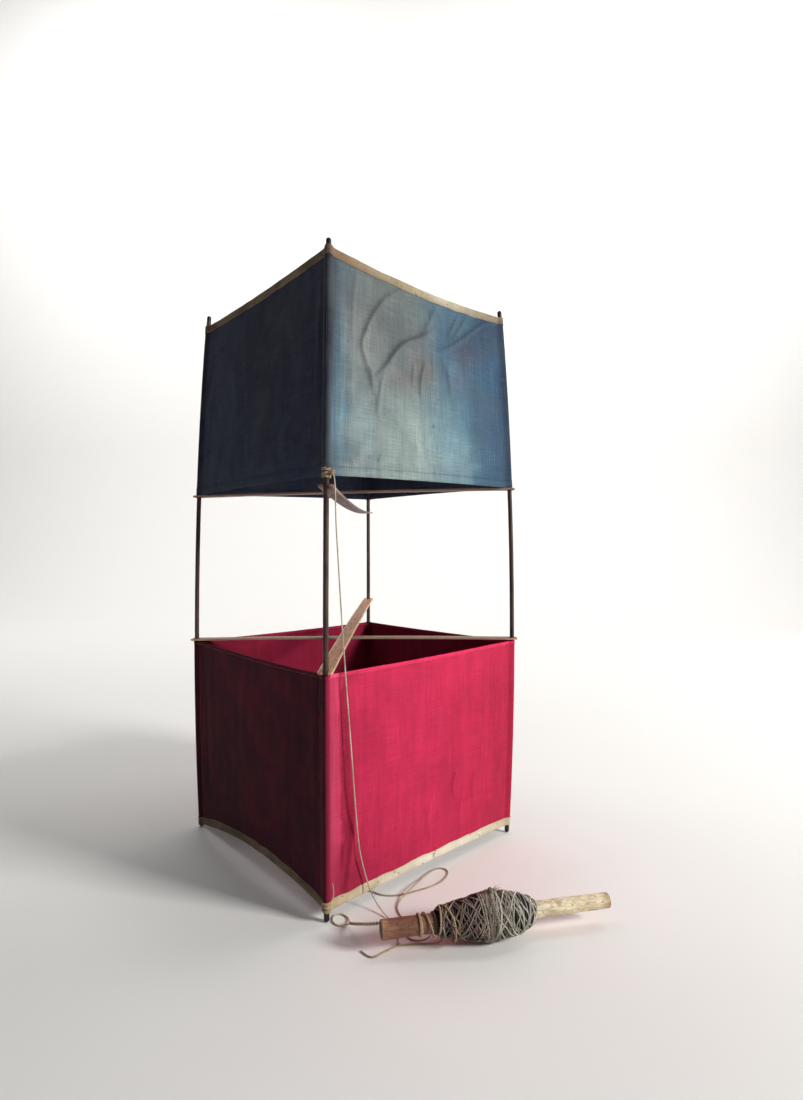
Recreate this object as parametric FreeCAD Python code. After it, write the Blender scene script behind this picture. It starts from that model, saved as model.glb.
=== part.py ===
import FreeCAD, Part

import math
import os

# Box kite: four bowed longerons carry two square cloth cells, four loose flat
# spreaders hold it open, and the flying line runs to a wound stick on the ground.
# Millimetres, +Z up. The origin is the kite's own axis at the level of its feet.
# -Y is the near longeron with the tow point, +X the right one, +Y the back one.

V = FreeCAD.Vector
UP = V(0, 0, 1)

# ---- driving dimensions ----
LONGERON_LENGTH = 914.0
LONGERON_RADIUS = 3.75
HALF_DIAGONAL = 280.0          # kite axis to a longeron's centre at the belly of its bow
TOP_INSET = 21.0               # how far the bowed longerons lean in at their tips
FOOT_INSET = 9.0
CLOTH = 0.8                    # thickness of one layer of cotton
HEM = 1.4                      # a folded and stitched edge
BINDING = 1.8                  # tape folded over an edge
SLEEVE_IN = 4.0                # corner pockets that the longerons slide into
SLEEVE_OUT = 4.7
SPREADER_WIDTH = 20.0
SPREADER_THICK = 3.0
FORK_WIDTH = 8.2               # notch that straddles a longeron
FORK_GAP = 2.2                 # from the notch's floor to the longeron
FORK_TIP = 4.5                 # how far the prongs stand past the longeron
TWINE = 2.0                    # diameter of the flying line
FLOOR_LINE = 1.2               # height of the centre of a line lying on the ground

# corners by the direction in which they lie from the kite's axis, degrees from +X
CORNERS = {"right": 0.0, "back": 90.0, "left": 180.0, "near": 270.0}
PANELS = {
    "front_right": ("near", "right"),
    "back_right": ("right", "back"),
    "back_left": ("back", "left"),
    "front_left": ("left", "near"),
}

# height of each cell's edges at the four corners; the cloth has stretched unevenly
LOWER_BOTTOM = {"near": 14.5, "left": 4.0, "right": 15.0, "back": 10.0}
LOWER_TOP = {"near": 327.0, "left": 330.5, "right": 334.5, "back": 334.0}
UPPER_BOTTOM = {"near": 591.0, "left": 591.5, "right": 602.5, "back": 608.0}
UPPER_TOP = {"near": 902.5, "left": 894.5, "right": 900.5, "back": 898.0}

# how far the middle of an edge lies below (-) or above (+) its corners, per panel
LOWER_BOTTOM_SAG = {"front_right": 2.0, "back_right": 6.0, "back_left": 8.0, "front_left": 21.0}
LOWER_TOP_SAG = {"front_right": -1.5, "back_right": -2.0, "back_left": -2.0, "front_left": -2.5}
UPPER_BOTTOM_SAG = {"front_right": 1.5, "back_right": 1.5, "back_left": 2.0, "front_left": 2.0}
UPPER_TOP_SAG = {"front_right": -9.0, "back_right": -7.0, "back_left": -6.0, "front_left": -5.0}

LOWER_BINDING_HEIGHT = 12.5
UPPER_BINDING_HEIGHT = 12.0
LOWER_HEM_HEIGHT = 5.0
UPPER_HEM_HEIGHT = 13.0

# spreaders: heights at their two ends and at their middle
LOWER_CROSS = {"start": 333.2, "middle": 338.5, "end": 338.6}
UPPER_CROSS = {"start": 588.8, "middle": 596.3, "end": 599.8}
LOWER_FORE_AFT = {"start": 331.5, "middle": 361.5, "end": 384.5}
UPPER_FORE_AFT = {"start": 577.5, "middle": 567.5, "end": 579.5}

# lashings round the near longeron
TOW_LASHING = (586.0, 601.0)
FOOT_LASHING = (13.0, 28.0)
LASHING_OUT = 6.9

# winder: a tapered stick lying level, carried by the ball of line wound on it
WINDER_LEFT_END = V(76.4, -331.7, 29.0)
WINDER_HEADING = 14.65         # degrees from +X
WINDER_LENGTH = 305.0
WINDER_LEFT_RADIUS = 11.5
WINDER_RIGHT_RADIUS = 9.5
WINDER_EDGE = 1.6              # rounding of its two ends
# the wound line's outer shape: distance along the stick and radius
WINDING_OUTLINE = (
    (63.0, 12.6),
    (77.5, 18.8),
    (95.0, 21.6),
    (118.0, 26.2),
    (142.0, 28.9),
    (166.0, 27.2),
    (178.0, 24.2),
    (190.0, 19.8),
    (205.0, 11.2),
)
LOOSE_TURNS = (44.0, 60.0)     # stretch of the stick under a few slack turns
LOOSE_TURNS_RADIUS = 13.6

BOW_MIDDLE = LONGERON_LENGTH / 2
ROOT_TWO = math.sqrt(2)


# ---- the bow of the longerons ----
def circle_through(a, b, c):
    """Centre and radius of the circle through three points of a plane."""
    d = 2 * (a[0] * (b[1] - c[1]) + b[0] * (c[1] - a[1]) + c[0] * (a[1] - b[1]))
    aa = a[0] ** 2 + a[1] ** 2
    bb = b[0] ** 2 + b[1] ** 2
    cc = c[0] ** 2 + c[1] ** 2
    x = (aa * (b[1] - c[1]) + bb * (c[1] - a[1]) + cc * (a[1] - b[1])) / d
    y = (aa * (c[0] - b[0]) + bb * (a[0] - c[0]) + cc * (b[0] - a[0])) / d
    return x, y, math.hypot(a[0] - x, a[1] - y)


BOW_X, BOW_Z, BOW_RADIUS = circle_through(
    (HALF_DIAGONAL - FOOT_INSET, 0.0),
    (HALF_DIAGONAL, BOW_MIDDLE),
    (HALF_DIAGONAL - TOP_INSET, LONGERON_LENGTH),
)


def bow_angle(z):
    return math.asin((z - BOW_Z) / BOW_RADIUS)


def reach(z):
    """Distance from the kite's axis to a longeron's centre at height z."""
    return BOW_X + BOW_RADIUS * math.cos(bow_angle(z))


def turned(shape, corner):
    """A shape made at the right-hand corner, turned to another corner."""
    return shape.rotated(V(0, 0, 0), UP, CORNERS[corner])


def bowed_rod(low, high, radius, bore=0.0):
    """A round rod or tube that follows the bow at the right-hand corner."""
    start = bow_angle(low)
    foot = V(reach(low), 0, low)
    along = V(-math.sin(start), 0, math.cos(start))
    face = Part.Face(Part.Wire(Part.makeCircle(radius, foot, along)))
    if bore:
        face = face.cut(Part.Face(Part.Wire(Part.makeCircle(bore, foot, along))))
    turn = math.degrees(bow_angle(high) - start)
    return face.revolve(V(BOW_X, 0, BOW_Z), V(0, -1, 0), turn)


def longeron(corner):
    low = LONGERON_RADIUS
    high = LONGERON_LENGTH - LONGERON_RADIUS
    rod = bowed_rod(low, high, LONGERON_RADIUS)
    for z in (low, high):
        rod = rod.fuse(Part.makeSphere(LONGERON_RADIUS, V(reach(z), 0, z)))
    return turned(rod.removeSplitter(), corner)


def sleeve(corner, low, high):
    return turned(bowed_rod(low, high, SLEEVE_OUT, SLEEVE_IN), corner)


# ---- cloth panels, drawn facing -Y and turned to their place ----
def half_side(z):
    return reach(z) / ROOT_TWO


def curved_slab(thickness):
    """A sheet as wide as the kite, bent like the longerons."""
    half = thickness / 2
    heights = (0.0, BOW_MIDDLE, LONGERON_LENGTH)
    outer = [V(-HALF_DIAGONAL, -half_side(z) - half, z) for z in heights]
    inner = [V(-HALF_DIAGONAL, -half_side(z) + half, z) for z in heights]
    edges = [
        Part.Arc(*outer).toShape(),
        Part.LineSegment(outer[2], inner[2]).toShape(),
        Part.Arc(*inner).toShape(),
        Part.LineSegment(inner[0], outer[0]).toShape(),
    ]
    profile = Part.Face(Part.Wire(Part.__sortEdges__(edges)))
    return profile.extrude(V(2 * HALF_DIAGONAL, 0, 0))


def edge_line(left, right, sag, shift=0.0):
    """Three points of a curved cloth edge: left corner, middle and right corner."""
    left = left + shift
    right = right + shift
    middle = (left + right) / 2 + sag
    return V(-half_side(left), 0, left), V(0, 0, middle), V(half_side(right), 0, right)


def side_line(low, high, sign):
    middle = (low + high) / 2
    return [V(sign * half_side(z), 0, z) for z in (low, middle, high)]


def cloth_piece(low_edge, high_edge, thickness):
    """The part of a panel between two edges, open at the sides for the sleeves."""
    left = side_line(low_edge[0].z, high_edge[0].z, -1)
    right = side_line(low_edge[2].z, high_edge[2].z, 1)
    edges = [Part.Arc(*points).toShape() for points in (low_edge, right, high_edge, left)]
    outline = Part.Face(Part.Wire(Part.__sortEdges__(edges)))
    prism = outline.extrude(V(0, -HALF_DIAGONAL, 0))
    return curved_slab(thickness).common(prism)


def placed(piece, panel):
    """Turn a piece of the front panel to its side and cut it back to the sleeves."""
    first, second = PANELS[panel]
    piece = piece.rotated(V(0, 0, 0), UP, CORNERS[first] - 225.0)
    for corner in (first, second):
        piece = piece.cut(turned(bowed_rod(1.0, LONGERON_LENGTH - 1.0, SLEEVE_OUT), corner))
    return piece


def cell(name, bottoms, tops, bottom_sag, top_sag, bottom_band, top_band):
    """One cloth cell: panels, corner sleeves and the strips along its two edges.

    A band is (node name, height, thickness)."""
    nodes = {}
    for corner in CORNERS:
        nodes[f"{name}_{corner}_sleeve"] = [sleeve(corner, bottoms[corner], tops[corner])]
    for panel, (first, second) in PANELS.items():
        low = edge_line(bottoms[first], bottoms[second], bottom_sag[panel])
        low_in = edge_line(bottoms[first], bottoms[second], bottom_sag[panel], bottom_band[1])
        high = edge_line(tops[first], tops[second], top_sag[panel])
        high_in = edge_line(tops[first], tops[second], top_sag[panel], -top_band[1])
        nodes[f"{name}_{panel}_panel"] = [placed(cloth_piece(low_in, high_in, CLOTH), panel)]
        strips = ((bottom_band, low, low_in), (top_band, high_in, high))
        for (node, _, thickness), below, above in strips:
            strip = placed(cloth_piece(below, above, thickness), panel)
            nodes.setdefault(node, []).append(strip)
    return nodes


# ---- spreaders ----
def spreader_outline(start_z, end_z):
    """Plan of a flat spreader along X with a forked notch at each end."""
    half = SPREADER_WIDTH / 2
    notch = FORK_WIDTH / 2
    corner = 3.0
    points = []
    for sign, z in ((-1, start_z), (1, end_z)):
        tip = reach(z) + LONGERON_RADIUS + FORK_TIP
        floor = reach(z) - LONGERON_RADIUS - FORK_GAP
        end = [(tip - corner, half), (tip, half - corner), (tip, notch), (floor, notch)]
        end += [(x, -y) for x, y in reversed(end)]
        points += [(sign * x, sign * y) for x, y in end]
    points.append(points[0])
    return Part.Face(Part.makePolygon([V(x, y, 0) for x, y in points]))


def spreader(heights):
    """A thin bowed batten from the left corner to the right one."""
    z = [heights[key] for key in ("start", "middle", "end")]
    half = SPREADER_THICK / 2
    span = HALF_DIAGONAL + 20.0
    slope = (z[2] - z[0]) / (2 * HALF_DIAGONAL)
    line = [(-span, z[0] - slope * 20.0), (0, z[1]), (span, z[2] + slope * 20.0)]
    under = [V(x, -HALF_DIAGONAL, h - half) for x, h in line]
    over = [V(x, -HALF_DIAGONAL, h + half) for x, h in line]
    edges = [
        Part.Arc(*under).toShape(),
        Part.LineSegment(under[2], over[2]).toShape(),
        Part.Arc(*over).toShape(),
        Part.LineSegment(over[0], under[0]).toShape(),
    ]
    band = Part.Face(Part.Wire(Part.__sortEdges__(edges))).extrude(V(0, 2 * HALF_DIAGONAL, 0))
    plan = spreader_outline(z[0], z[2]).extrude(V(0, 0, LONGERON_LENGTH))
    return band.common(plan)


# ---- lashings and knots ----
def lashing(low, high):
    """Turns of twine round the near longeron's sleeve, as one plain collar."""
    return turned(bowed_rod(low, high, LASHING_OUT, SLEEVE_OUT), "near")


def without(solid, *taken):
    """A solid cut back to the pieces that it meets."""
    for other in taken:
        solid = solid.cut(other)
    return solid


# ---- lines ----
def line_tube(name, route, diameter):
    """A round line along straight runs joined by tangent arcs, as large as the runs allow."""
    points = [V(*point) for point in route]
    arcs = []
    radii = []
    for before, here, after in zip(points, points[1:], points[2:]):
        back = before - here
        ahead = after - here
        shorter = min(back.Length, ahead.Length)
        turn = math.pi - back.getAngle(ahead)
        radius = 0.45 * shorter / math.tan(turn / 2)
        step = 0.45 * shorter
        start = here + back.normalize() * step
        end = here + ahead.normalize() * step
        inward = (back + ahead).normalize()
        centre = here + inward * math.hypot(radius, step)
        arcs.append((start, centre - inward * radius, end))
        radii.append(radius)
    edges = []
    at = points[0]
    for start, middle, end in arcs:
        edges.append(Part.LineSegment(at, start).toShape())
        edges.append(Part.Arc(start, middle, end).toShape())
        at = end
    edges.append(Part.LineSegment(at, points[-1]).toShape())
    path = Part.Wire(edges)
    section = Part.Wire(Part.makeCircle(diameter / 2, points[0], points[1] - points[0]))
    tube = path.makePipeShell([section], True, False)
    expected = path.Length * math.pi * diameter ** 2 / 4
    print(
        f"{name}: length {path.Length:.0f}, tightest radius {min(radii):.1f},"
        f" volume ratio {tube.Volume / expected:.4f}, lowest {tube.optimalBoundingBox().ZMin:.2f}"
    )
    print("   radii " + " ".join(f"{radius:.0f}" for radius in radii))
    return tube


# from the knot at the tow point, down the front right panel, to the knot by the winder
TOW_ROUTE = (
    (9.8, -282.2, 593.2),
    (12.6, -284.6, 584.4),
    (13.2, -284.4, 562.0),
    (13.8, -281.8, 523.0),
    (16.0, -277.2, 478.0),
    (18.2, -273.0, 428.0),
    (21.4, -269.6, 372.0),
    (24.6, -266.2, 318.0),
    (28.6, -261.0, 258.0),
    (32.2, -256.8, 200.0),
    (35.6, -251.6, 142.0),
    (39.6, -245.6, 86.0),
    (44.8, -238.4, 56.0),
    (50.6, -231.6, 30.0),
    (59.2, -237.2, 13.0),
    (71.5, -250.4, 4.4),
    (83.0, -264.0, FLOOR_LINE),
    (91.4, -280.6, FLOOR_LINE),
    (95.8, -298.0, FLOOR_LINE),
    (97.2, -315.0, 1.6),
)
# from the foot lashing, inside the cell, out in an open loop and under the winder
BRIDLE_ROUTE = (
    (0.8, -265.4, 21.0),
    (0.6, -257.0, 15.4),
    (2.0, -245.6, 7.4),
    (5.0, -232.0, 2.2),
    (10.4, -215.0, FLOOR_LINE),
    (22.0, -199.4, FLOOR_LINE),
    (38.6, -192.4, FLOOR_LINE),
    (53.0, -198.4, FLOOR_LINE),
    (67.0, -207.2, FLOOR_LINE),
    (83.0, -208.8, FLOOR_LINE),
    (100.0, -204.2, FLOOR_LINE),
    (118.6, -193.0, FLOOR_LINE),
    (138.0, -182.8, FLOOR_LINE),
    (155.0, -167.0, FLOOR_LINE),
    (165.6, -145.0, FLOOR_LINE),
    (161.4, -130.6, FLOOR_LINE),
    (147.4, -129.6, FLOOR_LINE),
    (135.4, -141.6, FLOOR_LINE),
    (125.0, -162.6, 2.4),
    (117.0, -184.0, 6.4),
    (106.0, -204.6, 6.4),
    (95.6, -219.4, 2.4),
    (91.2, -234.0, FLOOR_LINE),
    (94.0, -249.0, FLOOR_LINE),
    (101.0, -262.6, FLOOR_LINE),
    (103.6, -279.6, FLOOR_LINE),
    (104.6, -295.6, FLOOR_LINE),
    (112.0, -305.0, FLOOR_LINE),
    (123.6, -307.4, 1.4),
    (132.6, -307.4, 4.0),
    (136.8, -310.0, 9.6),
    (137.6, -313.4, 14.9),
)
# from the knot by the winder to the underside of the wound line
LEAD_ROUTE = (
    (99.2, -317.0, 1.6),
    (112.0, -313.6, FLOOR_LINE),
    (126.0, -312.2, FLOOR_LINE),
    (140.0, -312.0, FLOOR_LINE),
    (149.0, -313.2, 3.4),
    (151.8, -313.0, 8.4),
)
# the line's free end beyond that knot
TAIL_ROUTE = (
    (96.0, -318.6, 1.6),
    (88.0, -324.0, FLOOR_LINE),
    (77.0, -333.4, FLOOR_LINE),
    (69.0, -341.0, FLOOR_LINE),
    (60.6, -338.6, FLOOR_LINE),
    (52.0, -329.0, FLOOR_LINE),
)
# two strands twisted together, from the slack turns along the back of the stick
# and down to the becket's eye
TWIST_ROUTE = (
    (115.0, -307.2, 29.0),
    (98.0, -311.8, 29.6),
    (82.0, -315.6, 29.4),
    (69.4, -317.0, 27.6),
    (58.4, -308.8, 21.6),
    (48.4, -297.0, 14.6),
    (38.6, -286.8, 8.0),
    (31.6, -278.8, 4.0),
)
TWIST_DIAMETER = 3.8
# the eye itself, round and back to the end of the twist
EYE_ROUTE = (
    (31.4, -278.2, 3.8),
    (30.8, -272.8, 2.6),
    (29.4, -266.8, 1.6),
    (26.0, -260.6, FLOOR_LINE),
    (18.4, -254.6, FLOOR_LINE),
    (10.2, -255.8, FLOOR_LINE),
    (7.2, -263.2, FLOOR_LINE),
    (8.2, -271.6, FLOOR_LINE),
    (13.0, -278.6, FLOOR_LINE),
    (20.6, -281.4, FLOOR_LINE),
    (30.2, -279.4, 3.0),
)
TOW_KNOT = V(8.6, -281.2, 594.6)
TOW_KNOT_RADIUS = 4.2
LINE_KNOT = V(97.6, -317.2, 2.6)
LINE_KNOT_RADIUS = 2.5
# the lashing's loose end, standing up against the cloth
STAY_ROUTE = (
    (6.2, -273.0, 26.0),
    (9.2, -270.8, 33.0),
    (9.0, -270.6, 43.0),
    (7.8, -271.8, 51.4),
)
STAY_DIAMETER = 1.4

LINES = (
    ("tow_line", TOW_ROUTE, TWINE),
    ("lower_bridle_line", BRIDLE_ROUTE, TWINE),
    ("winder_lead_line", LEAD_ROUTE, TWINE),
    ("line_tail", TAIL_ROUTE, TWINE),
    ("becket_twist", TWIST_ROUTE, TWIST_DIAMETER),
    ("becket_eye", EYE_ROUTE, TWINE),
    ("stay_thread", STAY_ROUTE, STAY_DIAMETER),
)


# ---- winder ----
def winder_frame(shape):
    """Move a shape turned about +X from the origin to the winder's place."""
    shape = shape.rotated(V(0, 0, 0), UP, WINDER_HEADING)
    return shape.translated(WINDER_LEFT_END)


def spun(outline):
    """A solid of revolution about X from an outline of (along, radius) points."""
    first = outline[0]
    last = outline[-1]
    points = [(first[0], 0.0), *outline, (last[0], 0.0), (first[0], 0.0)]
    face = Part.Face(Part.makePolygon([V(x, 0, r) for x, r in points]))
    return face.revolve(V(0, 0, 0), V(1, 0, 0), 360)


def stick():
    edge = WINDER_EDGE
    end = WINDER_LENGTH
    left = WINDER_LEFT_RADIUS
    right = WINDER_RIGHT_RADIUS
    outline = ((0, left - edge), (edge, left), (end - edge, right), (end, right - edge))
    return spun(outline)


def winder_nodes():
    core = stick()
    winding = spun(WINDING_OUTLINE)
    start, end = LOOSE_TURNS
    turns = spun(((start, LOOSE_TURNS_RADIUS), (end, LOOSE_TURNS_RADIUS)))
    along, radius = WINDING_OUTLINE[4]
    tuft = Part.makeSphere(4.0, V(along, 0, radius + 2.2)).cut(winding)
    return {
        "winder_stick": [winder_frame(core)],
        "wound_line": [winder_frame(winding.cut(core))],
        "winder_loose_turns": [winder_frame(turns.cut(core))],
        "winding_end_knot": [winder_frame(tuft)],
    }


def all_nodes():
    nodes = {f"{corner}_longeron": [longeron(corner)] for corner in CORNERS}
    lower = cell(
        "lower", LOWER_BOTTOM, LOWER_TOP, LOWER_BOTTOM_SAG, LOWER_TOP_SAG,
        ("lower_edge_binding", LOWER_BINDING_HEIGHT, BINDING),
        ("lower_cell_hem", LOWER_HEM_HEIGHT, HEM),
    )
    upper = cell(
        "upper", UPPER_BOTTOM, UPPER_TOP, UPPER_BOTTOM_SAG, UPPER_TOP_SAG,
        ("upper_cell_hem", UPPER_HEM_HEIGHT, HEM),
        ("upper_edge_binding", UPPER_BINDING_HEIGHT, BINDING),
    )
    nodes.update(lower)
    nodes.update(upper)
    nodes["lower_cross_spreader"] = [spreader(LOWER_CROSS)]
    nodes["upper_cross_spreader"] = [spreader(UPPER_CROSS)]
    nodes["lower_fore_aft_spreader"] = [turned(spreader(LOWER_FORE_AFT), "back")]
    nodes["upper_fore_aft_spreader"] = [turned(spreader(UPPER_FORE_AFT), "back")]

    for name, route, diameter in LINES:
        nodes[name] = [line_tube(name, route, diameter)]
    tow_knot = Part.makeSphere(TOW_KNOT_RADIUS, TOW_KNOT)
    line_knot = Part.makeSphere(LINE_KNOT_RADIUS, LINE_KNOT)
    for name in ("tow_line", "winder_lead_line", "line_tail"):
        nodes[name] = [without(nodes[name][0], tow_knot, line_knot)]
    nodes["becket_eye"] = [without(nodes["becket_eye"][0], *nodes["becket_twist"])]
    nodes["tow_knot"] = [tow_knot]
    nodes["line_knot"] = [line_knot]
    nodes["tow_lashing"] = [
        without(lashing(*TOW_LASHING), *nodes["upper_cell_hem"], *nodes["tow_line"], tow_knot)
    ]
    nodes["foot_lashing"] = [without(
        lashing(*FOOT_LASHING), *nodes["lower_edge_binding"], *nodes["lower_bridle_line"],
        *nodes["lower_front_right_panel"], *nodes["lower_front_left_panel"],
        *nodes["stay_thread"],
    )]
    nodes.update(winder_nodes())
    return nodes


os.makedirs("parts", exist_ok=True)
for name, solids in all_nodes().items():
    shape = solids[0] if len(solids) == 1 else Part.makeCompound(solids)
    sizes = " ".join(f"{solid.Volume:.0f}" for solid in shape.Solids)
    print(f"{name}: {len(shape.Solids)} solid, valid {shape.isValid()}, mm3 {sizes}")
    shape.exportStep(f"parts/{name}.step")
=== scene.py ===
"""Looks of a cloth box kite, its flying line and its winder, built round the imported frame.

Metres throughout, in the part's own frame: +Z up, -Y towards the towing corner."""

import logging
import math
from collections.abc import Callable, Iterable, Sequence
from dataclasses import dataclass
from enum import Enum

import bpy
import numpy as np
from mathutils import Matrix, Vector


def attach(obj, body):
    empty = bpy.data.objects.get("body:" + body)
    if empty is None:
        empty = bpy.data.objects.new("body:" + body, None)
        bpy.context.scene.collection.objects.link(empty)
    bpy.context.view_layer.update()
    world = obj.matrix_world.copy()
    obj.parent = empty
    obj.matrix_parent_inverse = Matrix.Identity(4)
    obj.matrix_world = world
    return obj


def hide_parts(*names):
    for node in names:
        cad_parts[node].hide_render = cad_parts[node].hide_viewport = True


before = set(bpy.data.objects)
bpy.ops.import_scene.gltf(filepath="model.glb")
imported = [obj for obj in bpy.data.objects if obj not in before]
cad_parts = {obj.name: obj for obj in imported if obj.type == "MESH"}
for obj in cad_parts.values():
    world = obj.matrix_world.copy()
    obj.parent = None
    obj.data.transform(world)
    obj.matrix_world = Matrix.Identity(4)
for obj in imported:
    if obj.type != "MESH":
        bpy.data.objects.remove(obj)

log = logging.getLogger("box_kite")
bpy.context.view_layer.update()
TAU = 2 * math.pi
Colour = tuple[float, float, float]
Point = tuple[float, float, float]
Socket = bpy.types.NodeSocket
Piece = bpy.types.Object


def rgb(red: int, green: int, blue: int) -> Colour:
    """A linear colour from the 0 to 255 values of a paint chart."""
    return tuple(
        c / 255 / 12.92 if c / 255 <= 0.04045 else ((c / 255 + 0.055) / 1.055) ** 2.4
        for c in (red, green, blue)
    )


def smooth(t: np.ndarray) -> np.ndarray:
    """The smooth step from 0 to 1 of a clipped value."""
    t = np.clip(t, 0.0, 1.0)
    return t * t * (3 - 2 * t)


def patches(x: np.ndarray, y: np.ndarray, size: float, seed: int) -> np.ndarray:
    """Soft value noise over a plane.

    Args:
        x: First coordinate, metres.
        y: Second coordinate, metres.
        size: Distance between the noise's lattice points, metres.
        seed: Picks the lattice.

    Returns:
        Values from -1 to 1.
    """
    grid = np.random.default_rng(seed).uniform(-1, 1, (64, 64))
    u, v = x / size + 64.0, y / size + 64.0
    i, j = np.floor(u).astype(int), np.floor(v).astype(int)
    a, b = smooth(u - i), smooth(v - j)
    i, j, k, m = i % 64, j % 64, (i + 1) % 64, (j + 1) % 64
    low = grid[i, j] * (1 - a) + grid[k, j] * a
    high = grid[i, m] * (1 - a) + grid[k, m] * a
    return low * (1 - b) + high * b


# ---- meshes
def placed(name: str, data: bpy.types.ID) -> Piece:
    """A new object in the scene, at the origin.

    Args:
        name: The object's name.
        data: Its mesh, curve, light or camera.

    Returns:
        The object.
    """
    made = bpy.data.objects.new(name, data)
    bpy.context.scene.collection.objects.link(made)
    return made


@dataclass
class Skin:
    """A mesh in the making: points, faces, a flat place and a colour for each point, which on some pieces
    holds painted light and shade.
    """

    points: np.ndarray
    faces: list[tuple[int, ...]]
    flat: np.ndarray
    dye_and_shade: np.ndarray

    @staticmethod
    def joined(parts: Sequence["Skin"]) -> "Skin":
        """Several skins as one."""
        faces: list[tuple[int, ...]] = []
        start = 0
        for part in parts:
            faces += [tuple(i + start for i in face) for face in part.faces]
            start += len(part.points)
        return Skin(
            np.concatenate([p.points for p in parts]),
            faces,
            np.concatenate([p.flat for p in parts]),
            np.concatenate([p.dye_and_shade for p in parts]),
        )

    def built(self, name: str, material: bpy.types.Material) -> Piece:
        """The skin as an object, smooth, with its UV map and its colour, which on some pieces holds painted
        light and shade.

        Args:
            name: The piece's name.
            material: The finish it wears.

        Returns:
            The new object, at the origin.
        """
        mesh = bpy.data.meshes.new(name)
        mesh.from_pydata(self.points.tolist(), [], self.faces)
        corners = np.zeros(len(mesh.loops), np.int32)
        mesh.loops.foreach_get("vertex_index", corners)
        layer = mesh.uv_layers.new(name="flat")
        layer.data.foreach_set("uv", self.flat[corners].astype(np.float32).ravel())
        paint = mesh.color_attributes.new("dye_and_shade", "FLOAT_COLOR", "POINT")
        full = np.concatenate([self.dye_and_shade, np.ones((len(self.dye_and_shade), 1))], axis=1)
        paint.data.foreach_set("color", full.astype(np.float32).ravel())
        mesh.polygons.foreach_set("use_smooth", [True] * len(mesh.polygons))
        mesh.materials.append(material)
        mesh.update()
        return placed(name, mesh)


def lattice(rows: int, columns: int, start: int = 0, turn: bool = False,
            round_rows: bool = False, round_columns: bool = False) -> list[tuple[int, ...]]:
    """Quads over a grid of points.

    Args:
        rows: Number of rows of points.
        columns: Points in each row.
        start: Number of the first point.
        turn: Whether the quads face the other way.
        round_rows: Whether the last row joins the first.
        round_columns: Whether the last column joins the first.

    Returns:
        The faces.
    """
    faces = []
    for i in range(rows if round_rows else rows - 1):
        below, above = start + i * columns, start + (i + 1) % rows * columns
        for j in range(columns if round_columns else columns - 1):
            k = (j + 1) % columns
            quad = (below + j, below + k, above + k, above + j)
            faces.append(quad[::-1] if turn else quad)
    return faces


def two_faced(rows: int, columns: int) -> list[tuple[int, ...]]:
    """Quads over two grids of points, one behind the other, closed round their rim.

    Args:
        rows: Number of rows of points in each grid.
        columns: Points in each row.

    Returns:
        The faces.
    """
    size = rows * columns
    rim = list(range(columns)) + [i * columns + columns - 1 for i in range(1, rows)]
    rim += [(rows - 1) * columns + j for j in range(columns - 2, -1, -1)]
    rim += [i * columns for i in range(rows - 2, 0, -1)]
    faces = lattice(rows, columns) + lattice(rows, columns, size, turn=True)
    return faces + [(b, a, a + size, b + size) for a, b in zip(rim, rim[1:] + rim[:1])]


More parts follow.
